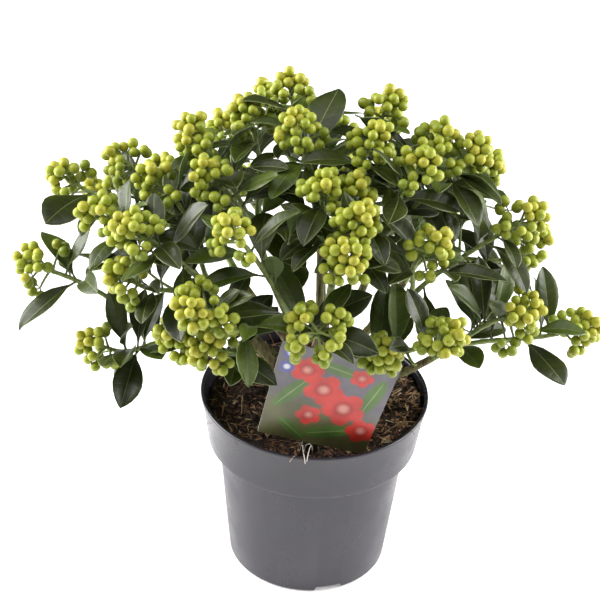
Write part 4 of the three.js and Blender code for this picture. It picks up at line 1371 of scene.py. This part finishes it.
class Crown:
    """What is there already, so that what grows can be kept clear of it."""

    def __init__(self, berries, radii):
        self.berries, self.radii = berries, radii
        self.limbs, self.limb_radii, self.owners = np.empty((0, 3)), np.empty(0), np.empty(0)
        self.leaves = []
        matrix = label_matrix()
        self.card_turn = np.array(matrix.to_3x3())
        self.card_place = np.array(matrix.translation) - np.array([0, 0, SOIL.level])

    def add_limb(self, line, radius, owner):
        spots = line.at(np.linspace(0, 1, max(4, int(line.length / 2.5))))
        self.limbs = np.concatenate([self.limbs, spots])
        self.limb_radii = np.concatenate([self.limb_radii, np.full(len(spots), radius)])
        self.owners = np.concatenate([self.owners, np.full(len(spots), owner)])

    def meets(self, spots, things, radii, room):
        """Whether any of the spots lies in one of the things, each a ball."""
        centre = (spots.min(0) + spots.max(0)) / 2
        reach = np.linalg.norm(spots - centre, axis=1).max() + CLOSE
        near = np.linalg.norm(things - centre, axis=1) < reach
        if not near.any():
            return False
        gaps = np.linalg.norm(spots[:, None] - things[near][None], axis=2) - radii[near]
        return bool((gaps < room).any())

    def in_pot(self, spots, lowest):
        """Whether any of the spots lies in the pot, in its label, or less than `lowest` above
        the rim."""
        out = np.hypot(spots[:, 0], spots[:, 1])
        rim = POT.height - SOIL.level
        over_pot = (out < POT.rim_radius + 1 + lowest) & (spots[:, 2] < rim + 1 + lowest)
        flat = (spots - self.card_place) @ self.card_turn
        on_card = (np.abs(flat[:, 0]) < LABEL.width / 2 + 1) & (np.abs(flat[:, 2]) < CARD_ROOM)
        on_card &= (flat[:, 1] > -LABEL.stake_length) & (flat[:, 1] < LABEL.height + 1)
        return bool((over_pot | on_card).any())

    def is_clear(self, spots, owner, room=0.5, lowest=0):
        """Whether all the spots keep clear of berries, limbs, pot and label. The limbs of the
        shoot that owns them don't count."""
        others = self.owners != owner
        if self.meets(spots, self.berries, self.radii, room):
            return False
        if self.meets(spots, self.limbs[others], self.limb_radii[others], room):
            return False
        return not self.in_pot(spots, lowest)

    def takes_leaf(self, upper, owner, lowest):
        """Keeps a leaf if it has room. Its stalk may lie close to its own shoot."""
        blade = upper[2:].reshape(-1, 3)
        if not self.is_clear(blade, owner, lowest=lowest):
            return False
        coarse = upper[COARSE.rows][:, COARSE.columns]
        points = coarse.reshape(-1, 3)
        tree = BVHTree.FromPolygons(points.tolist(), grid_faces(*coarse.shape[:2]).tolist())
        low, high = points.min(0), points.max(0)
        for other_low, other_high, other in self.leaves:
            if (low < other_high).all() and (other_low < high).all() and tree.overlap(other):
                return False
        self.leaves.append((low, high, tree))
        return True


def grow_leaf(crown, heap, plan, owner, tints):
    """A leaf on its owner, a shoot, if there is room for it."""
    for turn, lift, share in LEAF_TRIES:
        tried = Sizes(**vars(plan))
        tried.about += math.radians(turn)
        tried.angle += math.radians(lift)
        tried.length *= share
        upper, lower, across = leaf_shape(tried)
        if crown.takes_leaf(upper, owner, 0 if plan.width else LOWEST_OVER_POT):
            rows, columns = across.shape
            faces, looks, at_row = leaf_faces(rows, columns)
            tint = tints[plan.seed % len(tints)]
            looks = np.where(looks < 0, tint, looks)
            v = np.array(BLADE.rows)[at_row]
            u = across.reshape(-1)[faces % (rows * columns)] / 2 + 0.5
            marks = np.stack([(looks[:, None] + 0.02 + 0.96 * u) / len(LEAF_LOOKS), v], -1)
            points = np.concatenate([upper.reshape(-1, 3), lower.reshape(-1, 3)])
            heap.add(points, faces, looks, marks)
            return


def grow_side_shoots(crown, heap, shoot):
    """Short leafy shoots without fruit, lower on a twig. Returns each one's line and axis."""
    made = []
    draw = random.Random(shoot.seed + SEEDS.side_shoots)
    if shoot.twig.length < SIDE_SHOOT.shortest_twig:
        return made
    for i in range(2 if shoot.mass.startswith("north") else 1):
        back = SIDE_SHOOT.first_back + i * SIDE_SHOOT.next_back
        start = shoot.twig.at(1 - back)
        ahead = shoot.twig.heading(1 - back)
        length = SIDE_SHOOT.length + draw.uniform(-1, 1) * SIDE_SHOOT.spread
        first = draw.uniform(0, 360)
        for k in range(SIDE_SHOOT.ways):
            about = math.radians(first + SIDE_SHOOT.next_way * k)
            way = turned_from(ahead, math.radians(SIDE_SHOOT.angle), about)
            axis = unit(way + UP * SIDE_SHOOT.rise)
            bend = start + way * 0.5 * length
            line = Line(start, bend, bend + axis * 0.5 * length)
            spots = line.at(np.linspace(0.3, 1, 8))
            if crown.is_clear(spots, shoot.number, SIDE_SHOOT.root_radius + 1):
                taper = np.linspace(SIDE_SHOOT.root_radius, SIDE_SHOOT.tip_radius, 9)
                heap.add(*tube(line.at(np.linspace(0, 1, 9)), taper, 7))
                crown.add_limb(line, SIDE_SHOOT.root_radius, shoot.number)
                made.append((line, axis))
                break
    return made


def side_leaf_plans(line, axis, seed, first_number):
    """The places of a side shoot's leaves."""
    plans = []
    for n in range(SIDE_SHOOT.leaves):
        draw = random.Random(seed + n)
        share = n / (SIDE_SHOOT.leaves - 1)
        length = SIDE_SHOOT.leaf_length * draw.uniform(*SIDE_SHOOT.length_spread)
        about = GOLDEN_ANGLE * n + SIDE_SHOOT.turn_spread * draw.random()
        angle = mix(SIDE_SHOOT.young_angle, SIDE_SHOOT.old_angle, share)
        angle += draw.gauss(0, SIDE_SHOOT.angle_spread)
        plans.append(Sizes(root=back_from_tip(line, 1 + share * SIDE_SHOOT.end_back), axis=axis,
                           length=length, width=None, about=math.radians(about),
                           angle=math.radians(angle), seed=seed + SEEDS.side_leaf_shape * n,
                           number=first_number + n))
    return plans


def edge_leaf_plans(shoots):
    """Each edge leaf's shoot and place."""
    for i, (mass, s, back, way, rise, length, width) in enumerate(EDGE_LEAVES):
        shoot = [shoot for shoot in shoots if shoot.mass == mass][s]
        root = back_from_tip(shoot.twig, back)
        yield shoot, Sizes(root=root, axis=UP, length=length, width=width,
                           about=math.radians(way + 180), angle=math.radians(90 - rise),
                           seed=SEEDS.edge + SEEDS.leaf_shape * i, number=None)


# ---- Growth ----------------------------------------------------------------------------------


def grow_twigs(crown, shoots, heaps):
    """The stems that carry on from the boughs, and the twigs that fork off them."""
    for ring, way, *places in MASSES.values():
        bough = bough_line(ring, way, places)
        stem = stem_line(bough)
        crown.add_limb(bough, BOUGH.root_radius, NO_SHOOT)
        crown.add_limb(stem, STEM.root_radius, NO_SHOOT)
        spots = np.concatenate([[bough.at(0.97)], stem.at(np.linspace(0, 1, 8))])
        heaps[ring].add(*tube(spots, np.linspace(STEM.root_radius, STEM.tip_radius, 9), 14))
    for shoot in shoots:
        crown.add_limb(shoot.twig, TWIG.root_radius, shoot.number)
        shares = np.linspace(0, 1, max(8, int(shoot.twig.length / 3)))
        waves = np.sin(shares * shoot.twig.length / KNOTS.spacing + shoot.seed)
        knots = 1 + KNOTS.rise * np.clip(waves, 0, 1) ** 3
        taper = mix(TWIG.root_radius, TWIG.tip_radius, shares) * knots
        heaps[shoot.ring].add(*tube(shoot.twig.at(shares), taper, 10))


def all_leaf_plans(shoots, side_shoots):
    """Every leaf's shoot, place and tints: those of the crown's edge come first, then those
    of the shoots and last those of the side shoots."""
    for shoot, plan in edge_leaf_plans(shoots):
        yield shoot, plan, EDGE_TINTS
    for shoot in shoots:
        draw = random.Random(shoot.seed + SEEDS.tints)
        tints = [draw.choice(BLADE_TINTS) for _ in range(3)]
        for plan in leaf_plans(shoot.twig, shoot.axis, shoot.seed + SEEDS.leaves):
            yield shoot, plan, tints
    for shoot, lines in zip(shoots, side_shoots):
        tints = [random.Random(shoot.seed + SEEDS.side_tints).choice(BLADE_TINTS)]
        for i, (line, axis) in enumerate(lines):
            seed = shoot.seed + SEEDS.side_leaves * (i + 1)
            first_number = LEAF.per_shoot + i * SIDE_SHOOT.leaves
            for plan in side_leaf_plans(line, axis, seed, first_number):
                yield shoot, plan, tints


def growth_skins():
    """The materials of twigs, fruit and leaves, in the order that their looks number them."""
    twigs = [plain_growth("twig_green", "6b7d3c", "8e9c58", 0.5),
             plain_growth("stalk_green", "6c7b38", "85934b", 0.5)]
    # The fruit skins run from a pale yellow one to a dark green one. They are lit and shaded copies
    # of one skin, painted light dealt out by each berry's height in its head, with their hue
    # shifting from yellow to green.
    fruit = [berry_skin("fruit_yellow_painted_lit", "9b9b1c", "aaa82f"),
             berry_skin("fruit_lime", "8c9718", "9ba128"),
             berry_skin("fruit_green", "808d15", "919a22"),
             berry_skin("fruit_painted_shade", "718112", "818e1e"),
             plain_growth("fruit_scar", "6b5c28", "86752f", 0.8)]
    blades = (("1d2504", "2c3508", "3c461b", 0.4, 0.06),
              ("273106", "37430a", "4a5521", 0.4, 0.06),
              ("334208", "44540f", "59652a", 0.42, 0.06),
              ("3f4f0d", "516117", "687634", 0.44, 0.06),
              ("495b27", "576934", "74854c", 0.55, 0.0))
    leaves = [leaf_blade(name, *look) for name, look in zip(LEAF_LOOKS, blades)]
    leaves += [plain_growth(LEAF_LOOKS[RIB], "4a5728", "5f6c38", 0.5, 400),
               plain_growth(LEAF_LOOKS[MARGIN], "5d6a38", "74814c", 0.4, 400)]
    return {"twigs": twigs, "fruit": fruit, "leaves": leaves}


def make_growth():
    """Twigs, fruit and leaves, joined each kind apart for each ring of boughs."""
    heaps = {kind: {ring: Heap(base=(0, 0, SOIL.level)) for ring in RINGS}
             for kind in ("twigs", "fruit", "leaves")}
    shoots = all_shoots()
    crown = Crown(*grow_fruit(shoots, heaps["twigs"], heaps["fruit"]))
    grow_twigs(crown, shoots, heaps["twigs"])
    side_shoots = [grow_side_shoots(crown, heaps["twigs"][shoot.ring], shoot) for shoot in shoots]
    for shoot, plan, tints in all_leaf_plans(shoots, side_shoots):
        if (shoot.mass, shoot.place_in_mass, plan.number) not in FALLEN:
            grow_leaf(crown, heaps["leaves"][shoot.ring], plan, shoot.number, tints)
    skins = growth_skins()
    for kind, by_ring in heaps.items():
        for ring, heap in by_ring.items():
            name = kind + "_" + ring
            nodes = ["foliage_" + mass for mass in MASSES if MASSES[mass][0] == ring]
            piece(name, heap.mesh(name), skins[kind], "foliage", *nodes)


# ---- Studio ----------------------------------------------------------------------------------

CAMERA = Sizes(back=1254, up=1046.5, pitch=32.65, yaw=-0.7, roll=-2.77, lens=114, film=36)
# From here on in metres and watts: each light's place, what it aims at, its sides and power.
LIGHTS = {
    "top_light": ((-0.1, -0.2, 1.9), (0, 0, 0.2), 1.8, 1.8, 22),
    "left_light": ((-1.5, 0.15, 0.75), (0, 0, 0.15), 1.3, 1.4, 66),
    "right_light": ((1.5, 0.2, 0.75), (0, 0, 0.15), 1.3, 1.4, 56),
}


def make_camera():
    """The camera in front, looking down, a little turned and tipped to its side."""
    data = bpy.data.cameras.new("camera")
    data.lens = CAMERA.lens
    data.sensor_width = CAMERA.film
    pitch, yaw, roll = (math.radians(a) for a in (CAMERA.pitch, CAMERA.yaw, CAMERA.roll))
    level = math.cos(pitch)
    ahead = Vector((math.sin(yaw) * level, math.cos(yaw) * level, -math.sin(pitch)))
    right = Vector((math.cos(yaw), -math.sin(yaw), 0))
    above = right.cross(ahead)
    x = right * math.cos(roll) - above * math.sin(roll)
    y = right * math.sin(roll) + above * math.cos(roll)
    turn = Matrix((x, y, -ahead)).transposed()
    made = bpy.data.objects.new("camera", data)
    place = Vector((0, -CAMERA.back, CAMERA.up)) * MM
    made.matrix_world = Matrix.Translation(place) @ turn.to_4x4()
    bpy.context.scene.collection.objects.link(made)
    bpy.context.scene.camera = made


def soft_box(name, place, aim, width, height, watts):
    """A broad soft light."""
    data = bpy.data.lights.new(name, "AREA")
    data.shape = "RECTANGLE"
    data.size, data.size_y = width, height
    data.energy = watts
    made = bpy.data.objects.new(name, data)
    made.location = place
    made.rotation_euler = (Vector(aim) - Vector(place)).to_track_quat("-Z", "Y").to_euler()
    bpy.context.scene.collection.objects.link(made)


def make_studio():
    """A pale floor under soft lights."""
    mesh = bpy.data.meshes.new("floor")
    mesh.from_pydata([(-4, -4, 0), (4, -4, 0), (4, 4, 0), (-4, 4, 0)], [], [(0, 1, 2, 3)])
    floor = bpy.data.objects.new("floor", mesh)
    bpy.context.scene.collection.objects.link(floor)
    made = Finish("pale_floor", 0.6)
    made.set("Base Color", made.mottled("f6f4f4", "fbfafa", size=3))
    made.set("Emission Color", paint("fffdfd"))
    made.set("Emission Strength", 0.3)
    mesh.materials.append(made.material)
    world = bpy.data.worlds.new("studio")
    world.use_nodes = True
    sky = world.node_tree.nodes["Background"].inputs
    sky["Color"].default_value = (1, 1, 1, 1)
    sky["Strength"].default_value = 0.1
    bpy.context.scene.world = world
    for name, light in LIGHTS.items():
        soft_box(name, *light)
    bpy.context.scene.view_settings.view_transform = "Standard"


make_pot()
make_soil()
make_litter()
make_label()
make_limbs()
make_growth()
make_studio()
make_camera()
